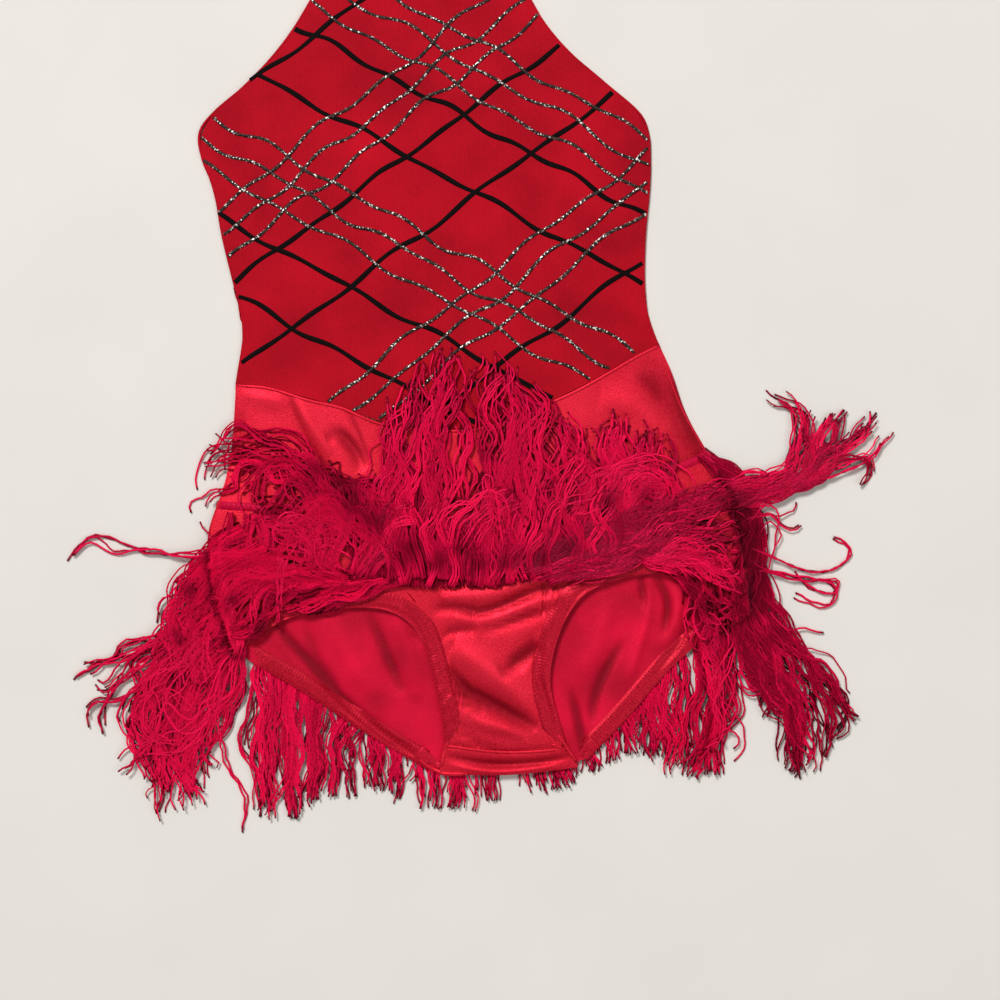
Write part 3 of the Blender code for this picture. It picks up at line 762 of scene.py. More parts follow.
# Leg edges, in mm on the table, as the garment's pattern has them
LEG_EDGES = {
    "leg_hem_front_left": (
        (-144, -151), (-127, -137), (-112, -128.5), (-79, -123.5), (-56, -123), (-41, -129),
        (-33, -140), (-27, -160), (-21, -186), (-19, -206),
    ),
    "leg_hem_front_right": (
        (55, -208), (47, -183), (43, -166), (48, -143), (59, -118), (72, -109.5), (92, -105), (114, -101),
        (136, -105), (153, -115), (163, -126),
    ),
    "leg_hem_back_left": ((-144, -151), (-131, -159), (-108, -172), (-85, -187), (-60, -203), (-30, -220.5)),
    "leg_hem_back_right": ((66, -216), (92, -189), (116, -161), (134, -145), (163, -126)),
}


def leg_edge(node: str) -> np.ndarray:
    """One leg's edge as a smooth line, in metres."""
    return smooth_way(in_mm(LEG_EDGES[node]), 90)


@dataclass
class LegHem(ClothShell):
    """The turned elastic band at one leg, sewn down along its inner side.

    The band is width wide and full high, rounded over leg_round at the leg and seam_round at its
    seam. stand is how high its solid lies over the cloth, and show what is left of that.
    """

    stand: float = 1.25 * MM
    show: float = 0.12 * MM
    width: float = 10.5 * MM
    full: float = 0.95 * MM
    leg_round: float = 1.8 * MM
    seam_round: float = 2.6 * MM

    def build(self) -> bpy.types.Object:
        """Makes the band, rounded at the leg and let into the cloth at its seam."""
        obj = super().build()
        spots = mesh_points(obj)
        gap, _, run = nearest(spots[:, :2], leg_edge(self.node))
        across = np.abs(gap)
        leg = np.clip(across / self.leg_round, 0.0, 1.0)
        seam = np.clip((self.width - across) / self.seam_round, 0.0, 1.0)
        spots[:, 2] += (self.show - self.stand) + self.full * np.sqrt(leg * (2 - leg)) * seam * (2 - seam)
        set_points(obj, spots)
        for name, values in (("along", run), ("across", across)):
            obj.data.attributes.new(name, "FLOAT", "POINT").data.foreach_set("value", values)
        return obj


@dataclass
class Relief:
    """How high the garment stands above the table, on a fine grid, and where cloth lies over it."""

    step: float = 1.0 * MM
    margin: float = 12 * MM
    heights: np.ndarray = field(init=False)
    low: np.ndarray = field(init=False)
    covered: np.ndarray | None = field(init=False, default=None)

    def __post_init__(self) -> None:
        """Starts with a bare table over the garment's whole place."""
        lo, hi = (np.array(corner) for corner in CAD_BOX)
        self.low = lo[:2] - self.margin
        size = np.ceil((hi[:2] + self.margin - self.low) / self.step).astype(int) + 1
        self.heights = np.zeros((size[1], size[0]))

    def cells(self, spots: np.ndarray) -> tuple[np.ndarray, np.ndarray]:
        """The grid rows and columns of these places."""
        at = np.rint((spots[:, :2] - self.low) / self.step).astype(int)
        rows, cols = self.heights.shape
        return np.clip(at[:, 1], 0, rows - 1), np.clip(at[:, 0], 0, cols - 1)

    def cover(self, pieces: Iterable[bpy.types.Object]) -> None:
        """Raises the relief to the tops of these pieces."""
        for piece in pieces:
            spots = mesh_points(piece)
            faces = [tuple(face.vertices) for face in piece.data.polygons]
            tree = BVHTree.FromPolygons([tuple(p) for p in spots], faces)
            lo, hi = spots.min(axis=0), spots.max(axis=0)
            rows, cols = self.cells(np.array([lo, hi]))
            down = Vector((0.0, 0.0, -1.0))
            for row in range(rows[0], rows[1] + 1):
                y = self.low[1] + row * self.step
                for col in range(cols[0], cols[1] + 1):
                    hit = tree.ray_cast(Vector((self.low[0] + col * self.step, y, 0.1)), down)[0]
                    if hit is not None and hit.z > self.heights[row, col]:
                        self.heights[row, col] = hit.z

    def at(self, spots: np.ndarray) -> np.ndarray:
        """The height at these places."""
        return self.heights[self.cells(spots)]

    def smooth_at(self, spots: np.ndarray) -> np.ndarray:
        """The height at these places, blended between the grid's points."""
        at = (spots[:, :2] - self.low) / self.step
        at = np.clip(at, 0, np.array(self.heights.shape[::-1]) - 1.001)
        col, row = np.floor(at).astype(int).T
        x, y = (at - np.floor(at)).T
        h = self.heights
        low = h[row, col] * (1 - x) + h[row, col + 1] * x
        high = h[row + 1, col] * (1 - x) + h[row + 1, col + 1] * x
        return low * (1 - y) + high * y

    def blurred(self, reach: int) -> "Relief":
        """A copy with each height spread over its neighbours."""
        soft = Relief()
        rows = np.pad(self.heights, reach, mode="edge")
        size = 2 * reach + 1
        span = self.heights.shape
        rows = sum(rows[i : i + span[0], :] for i in range(size)) / size
        soft.heights = sum(rows[:, i : i + span[1]] for i in range(size)) / size
        return soft

    def raise_along(self, way: np.ndarray, top: float, edge: float) -> None:
        """Raises the relief under a strand.

        Args:
            way: the strand's places and heights.
            top: how far above its middle the next strand's bed lies.
            edge: the same for the cells beside it.
        """
        dense = dense_way(way, 0.7 * self.step)
        rows, cols = self.cells(dense)
        for down, across, lift in ((0, 0, top), (1, 0, edge), (-1, 0, edge), (0, 1, edge), (0, -1, edge)):
            r = np.clip(rows + down, 0, self.heights.shape[0] - 1)
            c = np.clip(cols + across, 0, self.heights.shape[1] - 1)
            np.maximum.at(self.heights, (r, c), dense[:, 2] + lift)


class Bundle:
    """Many swept strands, threads or trims gathered into one mesh."""

    def __init__(self) -> None:
        """Starts empty."""
        self.points: list[np.ndarray] = []
        self.quads: list[np.ndarray] = []
        self.quad_uv: list[np.ndarray] = []
        self.caps: list[np.ndarray] = []
        self.tones_and_painted_shade: list[np.ndarray] = []
        self.count = 0

    def sweep(
        self,
        way: np.ndarray,
        profile: np.ndarray,
        tone: np.ndarray | float = 1.0,
        grow: np.ndarray | float = 1.0,
    ) -> None:
        """Sweeps a closed profile along a way.

        Args:
            way: places and heights, one row each.
            profile: the profile's corners, sideways and up, turning left.
            tone: the strand's brightness with its painted shade, for each place or for all.
            grow: a factor on the profile, for each place or for all.
        """
        n, k = len(way), len(profile)
        ahead = headings(way)
        side = np.column_stack((ahead[:, 1], -ahead[:, 0], np.zeros(n)))
        side /= np.maximum(np.linalg.norm(side, axis=1), 1e-9)[:, None]
        up = np.cross(side, ahead)
        size = np.broadcast_to(np.asarray(grow, float), (n,))[:, None, None]
        section = side[:, None, :] * profile[None, :, :1] + up[:, None, :] * profile[None, :, 1:]
        self.points.append((way[:, None, :] + size * section).reshape(-1, 3))
        i = np.arange(n - 1)[:, None] * k
        j = np.arange(k)[None, :]
        after = (j + 1) % k
        quad = np.stack((i + j, i + after, i + k + after, i + k + j), axis=-1).reshape(-1, 4)[:, ::-1]
        run = runs_along(way) / MM + self.count * 0.37
        left, right, back, front = (
            np.broadcast_to(part, (n - 1, k)) for part in (j / k, (j + 1) / k, run[:-1, None], run[1:, None])
        )
        corners = ((left, back), (right, back), (right, front), (left, front))
        uv = np.stack([np.stack(corner, -1) for corner in corners], axis=2)
        self.quads.append(quad + self.count)
        self.quad_uv.append(uv.reshape(-1, 4, 2)[:, ::-1])
        self.caps.append(np.arange(k) + self.count)
        self.caps.append(np.arange(k)[::-1] + self.count + (n - 1) * k)
        self.tones_and_painted_shade.append(np.repeat(np.broadcast_to(np.asarray(tone, float), (n,)), k))
        self.count += n * k

    def piece(
        self, name: str, finish: bpy.types.Material, slot: Slot | None = None, nodes: Sequence[str] = ()
    ) -> bpy.types.Object:
        """Makes the mesh and settles it on the garment.

        Args:
            name: the piece's name.
            finish: its material.
            slot: the record's slot for it, if it has one, which is passed on but not used.
            nodes: the solids that it stands for.

        Returns:
            The piece.
        """
        quads = np.vstack(self.quads)
        corners = np.concatenate([quads.ravel()] + self.caps)
        cap_starts = np.cumsum([0] + [len(cap) for cap in self.caps])[:-1]
        starts = np.concatenate((np.arange(len(quads)) * 4, len(quads) * 4 + cap_starts))
        mesh = bpy.data.meshes.new(name)
        mesh.vertices.add(self.count)
        mesh.vertices.foreach_set("co", np.vstack(self.points).ravel())
        mesh.loops.add(len(corners))
        mesh.loops.foreach_set("vertex_index", corners.astype(np.int32))
        mesh.polygons.add(len(starts))
        mesh.polygons.foreach_set("loop_start", starts.astype(np.int32))
        mesh.update(calc_edges=True)
        mesh.validate()
        uv = np.zeros((len(corners), 2))
        flat = np.vstack(self.quad_uv).reshape(-1, 2)
        uv[: len(flat)] = flat
        mesh.uv_layers.new(name="strand").data.foreach_set("uv", uv.ravel())
        mesh.attributes.new("tone", "FLOAT", "POINT").data.foreach_set("value", np.concatenate(self.tones_and_painted_shade))
        mesh.materials.append(finish)
        obj = placed(name, mesh)
        only(obj)
        bpy.ops.object.shade_smooth_by_angle(angle=math.radians(100))
        return settle(obj, slot, nodes)


def round_profile(radius: float, sides: int) -> np.ndarray:
    """A round profile of this radius."""
    turn = np.arange(sides) * 2 * math.pi / sides + math.pi / sides
    return np.column_stack((np.cos(turn), np.sin(turn))) * radius


def domed_profile(width: float, height: float, steps: int = 5) -> np.ndarray:
    """A flat-bottomed profile with a low dome on top."""
    turn = np.linspace(0.0, math.pi, steps + 1)
    return np.column_stack((np.cos(turn) * width / 2, np.sin(turn) ** 0.8 * height))


@dataclass
class Lattice:
    """Trim laid over the bodice in crossing diagonals, by one repeating rule.

    Each family of lines is its slope, its repeat down the bodice in mm and the heights in mm at
    which its first lines cross the middle. Lines that cross it below lowest are left out. Glitter
    lines wave more than black ones.
    """

    outline: Relief
    seed: int = 11
    middle: float = 14.4
    lowest: float = -50.0
    black: tuple = ((-0.545, 140.0, (159.6, 117.6)), (0.73, 166.8, (189.0, 135.6)))
    glitter: tuple = ((-0.56, 133.2, (208.8, 192.6, 175.8)), (0.78, 166.8, (248.4, 231.0, 214.2)))

    def lines(self, families: tuple, wave: float, rng: np.random.Generator) -> Iterator[np.ndarray]:
        """The waving lines of one kind of trim over the bodice.

        Args:
            families: the slope, repeat and first heights of each family.
            wave: the height of their waves, in mm.
            rng: the source of chance.

        Yields:
            The places of each run that lies on the cloth, in metres.
        """
        for slope, repeat, firsts in families:
            heights = [first - repeat * n for first in firsts for n in (-1, 0, 1, 2)]
            yield from [run for height in heights for run in self.line(slope, height, wave, rng)]

    def line(self, slope: float, height: float, wave: float, rng: np.random.Generator) -> list[np.ndarray]:
        """The runs of one line that lie on the cloth."""
        x = np.arange(-185.0, 135.0, 1.0)
        y = height + slope * (x - self.middle)
        for length in (rng.uniform(36, 48), rng.uniform(62, 90)):
            y = y + wave * rng.uniform(0.6, 1.0) * np.sin(2 * np.pi * x / length + rng.uniform(0, 6.28))
        if height < self.lowest:
            return []
        spots = np.column_stack((x, y)) * MM
        on = self.inside(spots)
        turns = np.flatnonzero(np.diff(np.concatenate(([0], on, [0]))))
        return [spots[start:end] for start, end in zip(turns[::2], turns[1::2]) if end - start > 8]

    def inside(self, spots: np.ndarray) -> np.ndarray:
        """Whether each place is on the bodice, a little in from its edge."""
        inset = 0.5 * MM
        found = np.ones(len(spots), bool)
        for across, down in ((0, 0), (inset, 0), (-inset, 0), (0, inset), (0, -inset)):
            found &= self.outline.at(spots + (across, down)) > 0
        return found

    def build(self, black: bpy.types.Material, glitter: bpy.types.Material) -> None:
        """Makes the black and the glitter trim.

        Args:
            black: the flat trim's finish.
            glitter: the raised trim's finish.
        """
        rng = np.random.default_rng(self.seed)
        flat = Bundle()
        ribbon = domed_profile(2.9 * MM, 0.34 * MM)
        for run in self.lines(self.black, 1.5, rng):
            way = np.column_stack((run, self.outline.smooth_at(run) + 0.02 * MM))
            swell = 1.0 + 0.12 * np.sin(np.arange(len(way)) * 0.21 + rng.uniform(0, 6))
            flat.sweep(way, ribbon, 1.0, swell)
        flat.piece("black_trim_lines", black)
        beaded = Bundle()
        bead = domed_profile(1.95 * MM, 0.9 * MM, 6)
        for run in self.lines(self.glitter, 2.3, rng):
            way = np.column_stack((run, self.outline.smooth_at(run) + 0.1 * MM))
            beaded.sweep(way, bead, 1.0, rng.uniform(0.82, 1.18, len(way)))
        beaded.piece("glitter_trim_lines", glitter)


# Fringe tapes, in mm on the table
TAPES = (
    ((-115, -112), (-76, -107), (-46, -104), (-16, -106), (14, -104), (44, -99), (77, -90), (111, -85)),
    ((-156, -62), (-128, -64), (-104, -70)),
    ((92, -46), (116, -41), (136, -34)),
    ((-151, -78), (-153, -88), (-152, -102), (-149, -115), (-145, -126)),
    ((149, -54), (154, -68), (156, -83), (155, -97)),
)

# Seams and edges, in mm on the table
HIP_SEAM = (
    (-144.6, 11), (-124, 9), (-101, 2), (-80, -3), (-58, -12), (-28, -16), (4, -15), (36, -3),
    (59, 7), (79, 18), (96, 28), (110, 35),
)
GUSSET_SEAM = ((-19, -206), (18, -210), (55, -208))
LEFT_EDGE = (
    (-97, 247), (-114, 219), (-136, 194), (-158, 175), (-167, 162), (-165, 146), (-158, 128),
    (-153, 100), (-146, 71), (-140, 46), (-144.6, 11), (-145, -3), (-149, -42), (-161, -80),
    (-158, -106), (-153, -126), (-144, -151),
)
RIGHT_EDGE = (
    (31, 246), (48, 219), (76, 194), (98, 175), (104, 162), (105, 146), (104.5, 128), (102, 100),
    (101.5, 71), (104.5, 46), (110, 35), (124, -3), (145, -42), (157, -80), (162, -106), (163, -126),
)
# How many places of each edge come before the hip seam
HIP = 10

# Bindings at the crotch and the turned ends of the hems, in the photograph's places
CROTCH_BINDING = (
    ((551, 744), (557, 746), (564, 749)),
    ((449, 736), (446, 746), (443, 757), (441, 767), (437, 773)),
    ((420, 760), (428, 767), (436, 771), (446, 774), (470, 774)),
    ((558, 734), (563, 742), (568, 750), (573, 757), (577, 762)),
)
HEM_ENDS = (
    ((418, 752), (427, 758), (434, 763), (441, 768)),
    ((596, 742), (588, 749), (582, 755), (577, 760)),
)


@dataclass
class Stitching:
    """The threads of the hems, tapes and seams, the tapes themselves and the folded sides.

    seam_row, hem_row and edge_row are how far the rows of a hem lie from its leg. rise is how
    far a seam stands out of the cloth.
    """

    cloth: Relief
    thread_finish: bpy.types.Material
    finishes: dict[Slot, bpy.types.Material]
    seed: int = 5
    thread: float = 0.24 * MM
    pitch: float = 2.7 * MM
    stitch: float = 2.0 * MM
    seam_row: float = 8.6 * MM
    hem_row: float = 5.6 * MM
    edge_row: float = 0.9 * MM
    rise: float = 0.05 * MM
    threads: Bundle = field(default_factory=Bundle)

    def row(self, line: np.ndarray, offset: float, rng: np.random.Generator) -> None:
        """Sews one row of short stitches beside a line."""
        way = smooth_way(beside(line, offset), 0, self.pitch)
        for spot, run in zip(way, headings(way)):
            run = run + rng.normal(0, 0.06, 2)
            ends = np.array([spot - run * self.stitch / 2, spot, spot + run * self.stitch / 2])
            rise = self.cloth.smooth_at(ends) + np.array([-0.05, 0.22, -0.05]) * MM
            self.threads.sweep(np.column_stack((ends, rise)), round_profile(self.thread, 4))

    def zigzag(self, line: np.ndarray, offset: float, width: float, pitch: float) -> None:
        """Sews one zigzag thread beside a line."""
        way = smooth_way(beside(line, offset), 0, pitch / 2)
        turn = np.where(np.arange(len(way)) % 2 == 0, 1.0, -1.0) * width / 2
        way = dense_way(self.at_height(beside(way, turn), 0.0), 0.9 * MM)
        way[:, 2] = self.cloth.smooth_at(way) + 0.18 * MM
        self.threads.sweep(way, round_profile(self.thread, 4))

    def at_height(self, line: np.ndarray, height: np.ndarray | float) -> np.ndarray:
        """The line's places with this height, for each or for all."""
        return np.column_stack((line, np.broadcast_to(height, (len(line),))))

    def crest(self, line: np.ndarray) -> np.ndarray:
        """The cloth's height along a line, or what is higher close beside it, evened out."""
        sides = [self.cloth.smooth_at(beside(line, gap * MM)) for gap in (-1.4, 0.0, 1.4)]
        return evened(np.maximum.reduce(sides))

    def inward(self, line: np.ndarray) -> float:
        """1 where the cloth lies on the line's left, otherwise -1."""
        third = len(line) // 3
        middle = self.cloth.at(line[third:-third])
        left, right = (
            (self.cloth.at(beside(line, gap * MM)[third:-third]) - middle).sum() for gap in (5, -5)
        )
        return 1.0 if left > right else -1.0

    def tapes(self) -> None:
        """Makes the fringe tapes, with a zigzag over each."""
        tapes = Bundle()
        for points in TAPES:
            line = smooth_way(in_mm(points))
            way = self.at_height(line, self.cloth.smooth_at(line) + self.rise)
            tapes.sweep(way, domed_profile(5.0 * MM, 0.9 * MM, 4), 0.5)
            self.cloth.raise_along(dense_way(way, 1.0 * MM), 0.8 * MM, 0.8 * MM)
            self.zigzag(line, 0.0, 4.2 * MM, 3.0 * MM)
        tapes.piece("fringe_tapes", self.finishes[Slot.YARN], Slot.YARN)

    def rows(self) -> None:
        """Sews the rows of the hems and of the crotch seam."""
        rng = np.random.default_rng(self.seed)
        for node in LEG_EDGES:
            line = leg_edge(node)
            way = self.inward(line)
            sewn = line[2:-3]
            self.row(sewn, way * self.seam_row, rng)
            if node == "leg_hem_front_left":
                self.zigzag(line[2:-8], way * self.hem_row, 2.8 * MM, 3.4 * MM)
            else:
                self.row(sewn, way * self.hem_row, rng)
            self.row(sewn, way * self.edge_row, rng)
        self.row(smooth_way(in_mm(GUSSET_SEAM), 20), 2.4 * MM, rng)
        self.threads.piece("sewing_threads", self.thread_finish)

    def seams(self) -> Bundle:
        """The raised seams of the hip and crotch and the bindings at the crotch."""
        seams = Bundle()
        for points, drop in ((HIP_SEAM, -0.9), (GUSSET_SEAM, -0.2)):
            line = beside(smooth_way(in_mm(points), 0, 2.5 * MM), drop * MM)
            way = self.at_height(line, self.crest(line) + self.rise)
            seams.sweep(way, domed_profile(1.9 * MM, 0.6 * MM, 6))
        for points in CROTCH_BINDING:
            line = smooth_way(on_table(points), 0, 2.0 * MM)
            part = np.linspace(0.0, 1.0, len(line))
            taper = np.clip(6.0 * np.minimum(part, 1.0 - part), 0.15, 1.0)
            way = self.at_height(line, self.crest(line) + self.rise)
            seams.sweep(way, domed_profile(2.6 * MM, 0.8 * MM, 6), 1.0, taper)
        return seams

    def hem_ends(self) -> None:
        """Makes the turned ends of the hems at the crotch."""
        ends = Bundle()
        for points in HEM_ENDS:
            line = smooth_way(on_table(points), 0, 1.6 * MM)
            way = self.at_height(line, self.crest(line) - 0.25 * MM)
            ends.sweep(way, domed_profile(8.6 * MM, 0.6 * MM, 8), 1.0, np.linspace(1.0, 0.3, len(line)))
        ends.piece("hem_ends", self.finishes[Slot.HEM], Slot.HEM)

    def fold(self, bundle: Bundle, points: Way, left: bool) -> None:
        """Rolls the cloth over along one part of a side."""
        inward = 1.0 if left else -1.0
        line = smooth_way(in_mm(points), 0, 2.5 * MM)
        top = evened(self.cloth.smooth_at(beside(line, inward * 1.8 * MM)))
        oval = round_profile(1.0, 8) * np.array([0.9 * MM, 1.18 * MM])
        middle = np.maximum(top - 1.12 * MM, 1.2 * MM)
        bundle.sweep(self.at_height(beside(line, inward * 0.5 * MM), middle), oval)

    def build(self) -> None:
        """Makes the threads, tapes, seams and folded edges."""
        self.tapes()
        self.rows()
        seams = self.seams()
        self.hem_ends()
        for points, left in ((LEFT_EDGE, True), (RIGHT_EDGE, False)):
            self.fold(seams, points[HIP:], left)
            side = Bundle()
            self.fold(side, points[: HIP + 1], left)
            side.piece(f"bodice_side_{'left' if left else 'right'}", self.finishes[Slot.RIB], Slot.RIB)
        seams.piece("brief_seams", self.finishes[Slot.SATIN], Slot.SATIN)


@dataclass(frozen=True)
class Flow:
    """Strands that run the same way.

    guides are ways in the photograph's places, from root to tip. count is the number of strands, wander
    their sideways drift in mm, curl the radius of their curls and pitch the length of one turn. gather pulls
    the tips to the nearest guide, and short is how much of a strand may be missing at its tip. spread is how
    far apart the strands of one lock lie, in mm, and clump how many share it. rise is the most the pile may
    stand over what it lies on, in mm. tone is their brightness, from 0 to 1: partly the yarn's own shade and
    partly painted shade for flows that lie in shadow. step is the distance between a strand's places, in mm.
    """

    guides: tuple[Way, ...]
    count: int
    wander: float = 3.0
    curl: float = 0.0
    pitch: float = 40.0
    gather: float = 0.0
    short: float = 0.15
    spread: float = 2.0
    rise: float = 10.0
    clump: int = 8
    tone: float = 0.78
    step: float = 3.7


@dataclass
class Fringe:
    """The strands that stand for one fringe solid.

    radius is a strand's own, and ceiling the height that strands under cloth stay below.
    """

    node: str
    flows: tuple[Flow, ...]
    seed: int
    radius: float = 0.64 * MM
    ceiling: float = 0.0
    strands: list = field(default_factory=list)

    def lock(self, flow: Flow, guides: np.ndarray, rng: np.random.Generator, share: float) -> np.ndarray:
        """The way that one lock of strands takes.

        Args:
            flow: the family it belongs to.
            guides: the family's guides, evenly divided.
            rng: the source of chance.
            share: where it lies among the guides.

        Returns:
            Its places, from root to tip.
        """
        t = np.linspace(0.0, 1.0, guides.shape[1])
        near = int(min(share, len(guides) - 1.0001))
        part = share - near
        part = part + (round(part) - part) * flow.gather * t**1.5
        way = guides[near] * (1 - part)[:, None] + guides[min(near + 1, len(guides) - 1)] * part[:, None]
        length = np.linalg.norm(np.diff(way, axis=0), axis=1).sum() / MM
        along = t * length
        ramp = np.minimum(1.0, t / 0.25)
        drift = np.zeros(len(t))
        for size, wave in ((0.9, 102), (0.55, 54), (0.3, 30)):
            drift += flow.wander * size * np.sin(2 * np.pi * along / wave + rng.uniform(0, 6.28))
        way = beside(way, drift * ramp * MM)
        if flow.curl:
            size = flow.curl * rng.uniform(0.3, 1.4) * np.clip((t - 0.12) / 0.6, 0, 1) ** 1.2 * MM
            turn = rng.choice((-1.0, 1.0)) * 2 * np.pi * along / (flow.pitch * rng.uniform(0.7, 1.4))
            angle = turn + rng.uniform(0, 6.28)
            way = way + np.column_stack((np.cos(angle), np.sin(angle))) * size[:, None]
        return way

    def strand(self, flow: Flow, lock: np.ndarray, rng: np.random.Generator) -> np.ndarray:
        """One strand's way, close to its lock's.

        Args:
            flow: the family it belongs to.
            lock: its lock's way.
            rng: the source of chance.

        Returns:
            Its places, from root to tip.
        """
        t = np.linspace(0.0, 1.0, len(lock))
        fray = 1.6 if rng.random() < 0.12 else 0.45
        drift = rng.normal(0, flow.spread * 0.5) * (0.8 + 0.5 * t)
        drift = drift + fray * np.sin(2 * np.pi * t * rng.uniform(0.8, 2.6) + rng.uniform(0, 6.28)) * t
        drift = drift + rng.normal(0, 1.6) * fray * t**3
        run = runs_along(lock) / MM
        phase = 2 * np.pi * run / rng.uniform(10, 17) + rng.uniform(0, 6.28)
        drift = drift + 0.5 * np.sin(phase) * np.minimum(1.0, 3 * t)
        way = beside(lock, drift * MM)
        keep = 1.0 - flow.short * rng.random() ** 1.5
        way = way[: max(4, int(len(way) * keep))]
        return smooth_way(way, 0, flow.step * rng.uniform(0.85, 1.12) * MM)

    def laid(self, way: np.ndarray, bed: Relief, ground: np.ndarray, rise: float) -> np.ndarray:
        """Gives a strand its heights, so that it rests on what lies under it.

        Args:
            way: the strand's places.
            bed: the relief with all that lies under it.
            ground: the relief's heights without any strands, at these places.
            rise: the most the pile may stand over the ground.

        Returns:
            Places and heights.
        """
        z = bed.at(way) + self.radius
        wide = np.pad(z, 2, mode="edge")
        top = np.maximum.reduce([wide[i : i + len(z)] for i in range(5)])
        wide = np.pad(top, 3, mode="edge")
        z = np.mean([wide[i : i + len(z)] for i in range(7)], axis=0)
        wide = np.pad(z, 1, mode="edge")
        z = (wide[:-2] + 2 * wide[1:-1] + wide[2:]) / 4
        over = np.maximum(z - self.radius - ground, 0.0)
        limit = rise * MM
        z = ground + self.radius + limit * (1 - np.exp(-over / limit))
        if bed.covered is not None:
            z = np.where(bed.covered[bed.cells(way)], np.minimum(z, self.ceiling), z)
        return np.column_stack((way, z))

    def lay(self, bed: Relief, bare: Relief) -> None:
        """Lays all the strands.

        Args:
            bed: the relief that they are laid on, raised as they go.
            bare: the relief of the cloth alone.
        """
        rng = np.random.default_rng(self.seed)
        for flow in self.flows:
            guides = np.array([smooth_way(on_table(g), 48) for g in flow.guides])
            single = flow.clump == 1
            lift = 0.0
            for i in range(flow.count):
                if single:
                    lock = self.lock(flow, guides, rng, float(i % len(guides)))
                elif i % flow.clump == 0:
                    lock = self.lock(flow, guides, rng, rng.uniform(0, len(guides) - 1))
                    lift = rng.normal(0, 0.2)
                way = self.strand(flow, lock, rng)
                path = self.laid(way, bed, bare.at(way), flow.rise)
                bed.raise_along(path, 0.35 * self.radius, -0.4 * self.radius)
                tone = np.clip(rng.normal(flow.tone + lift, 0.13), 0.3, 1.0)
                self.strands.append((path, tone, rng.uniform(0.85, 1.12), 5 if single else 3))

    def build(self, bed: Relief, finish: bpy.types.Material) -> bpy.types.Object:
        """Joins the strands, with painted shade where they lie under other strands or down in hollows of the
        pile, and at the listed shadow spots; each strand's last place, at its tip, is darkest.

        Args:
            bed: the relief with every strand on it.
            finish: the yarn's finish.

        Returns:
            The piece.
        """
        bundle = Bundle()
        around = bed.blurred(4)
        pixel = PICTURE_SPAN / PICTURE_SIDE
        for path, tone, grow, sides in self.strands:
            # Painted shade: strands that lie under others or down in hollows of the pile are darkened.
            covered = np.maximum(bed.smooth_at(path) - path[:, 2] - 0.3 * self.radius, 0.0)
            hollow = np.maximum(around.smooth_at(path) - path[:, 2], 0.0)
            tones_and_painted_shade = tone * (0.25 + 0.75 * np.exp(-covered / (1.0 * MM)))
            tones_and_painted_shade = tones_and_painted_shade * (0.12 + 0.88 * np.exp(-hollow / (1.2 * MM)))
            # Painted shadow at the listed spots.
            for x, y, radius in PAINTED_SHADOW_SPOTS:
                away = np.linalg.norm(path[:, :2] - on_table([(x, y)])[0], axis=1) / (radius * pixel)
                tones_and_painted_shade *= 1 - 0.6 * np.exp(-(away**2))
            tones_and_painted_shade[-1] = 0.12
            bundle.sweep(path, round_profile(self.radius, sides), tones_and_painted_shade, grow)
        return bundle.piece(f"{self.node}_strands", finish, Slot.YARN, [self.node])


def fan(roots: Way, tips: Way, waist: float = 0.55) -> tuple[Way, ...]:
    """Guides from evenly spread roots to given tips.

    Args:
        roots: the first and the last root.
        tips: where the guides end.
        waist: how soon they run straight down.

    Returns:
        One way for each tip.
    """
    (x0, y0), (x1, y1) = roots
    ways = []
    for i, (x, y) in enumerate(tips):
        part = i / (len(tips) - 1)
        root_x, root_y = x0 + (x1 - x0) * part, y0 + (y1 - y0) * part
        across, down = x - root_x, y - root_y
        bend = (root_x + across * 0.35, root_y + down * 0.3)
        ways.append(((root_x, root_y), bend, (root_x + across * 0.8, root_y + down * waist), (x, y)))
    return tuple(ways)


# Places in the photograph where painted shadow darkens the yarn, with their radius
PAINTED_SHADOW_SPOTS = (
    (318, 468, 12), (342, 482, 16), (352, 505, 12), (300, 492, 10), (372, 520, 14), (411, 547, 15),
    (440, 560, 10), (520, 556, 12), (462, 545, 10), (570, 548, 12), (250, 655, 10), (262, 628, 12),
    (745, 505, 14), (748, 545, 16), (750, 590, 16), (690, 590, 10), (706, 606, 12), (646, 497, 9),
    (725, 500, 12), (492, 452, 10), (470, 418, 8), (610, 500, 10), (190, 590, 10), (180, 640, 9),
    (232, 600, 9), (770, 640, 10), (757, 528, 12), (761, 572, 13), (758, 612, 11), (402, 562, 8),
    (432, 566, 8), (482, 562, 10), (506, 563, 8), (543, 557, 9),
)

BACK_TIPS = (
    (239, 839), (255, 808), (267, 824), (288, 825), (309, 812), (334, 802), (349, 804), (377, 797),
    (393, 810), (412, 815), (430, 815), (458, 815), (475, 801), (492, 808), (515, 790), (538, 802),
    (564, 794), (593, 778), (610, 769), (632, 759), (652, 761), (669, 766), (682, 781), (702, 784),
    (719, 780),
)

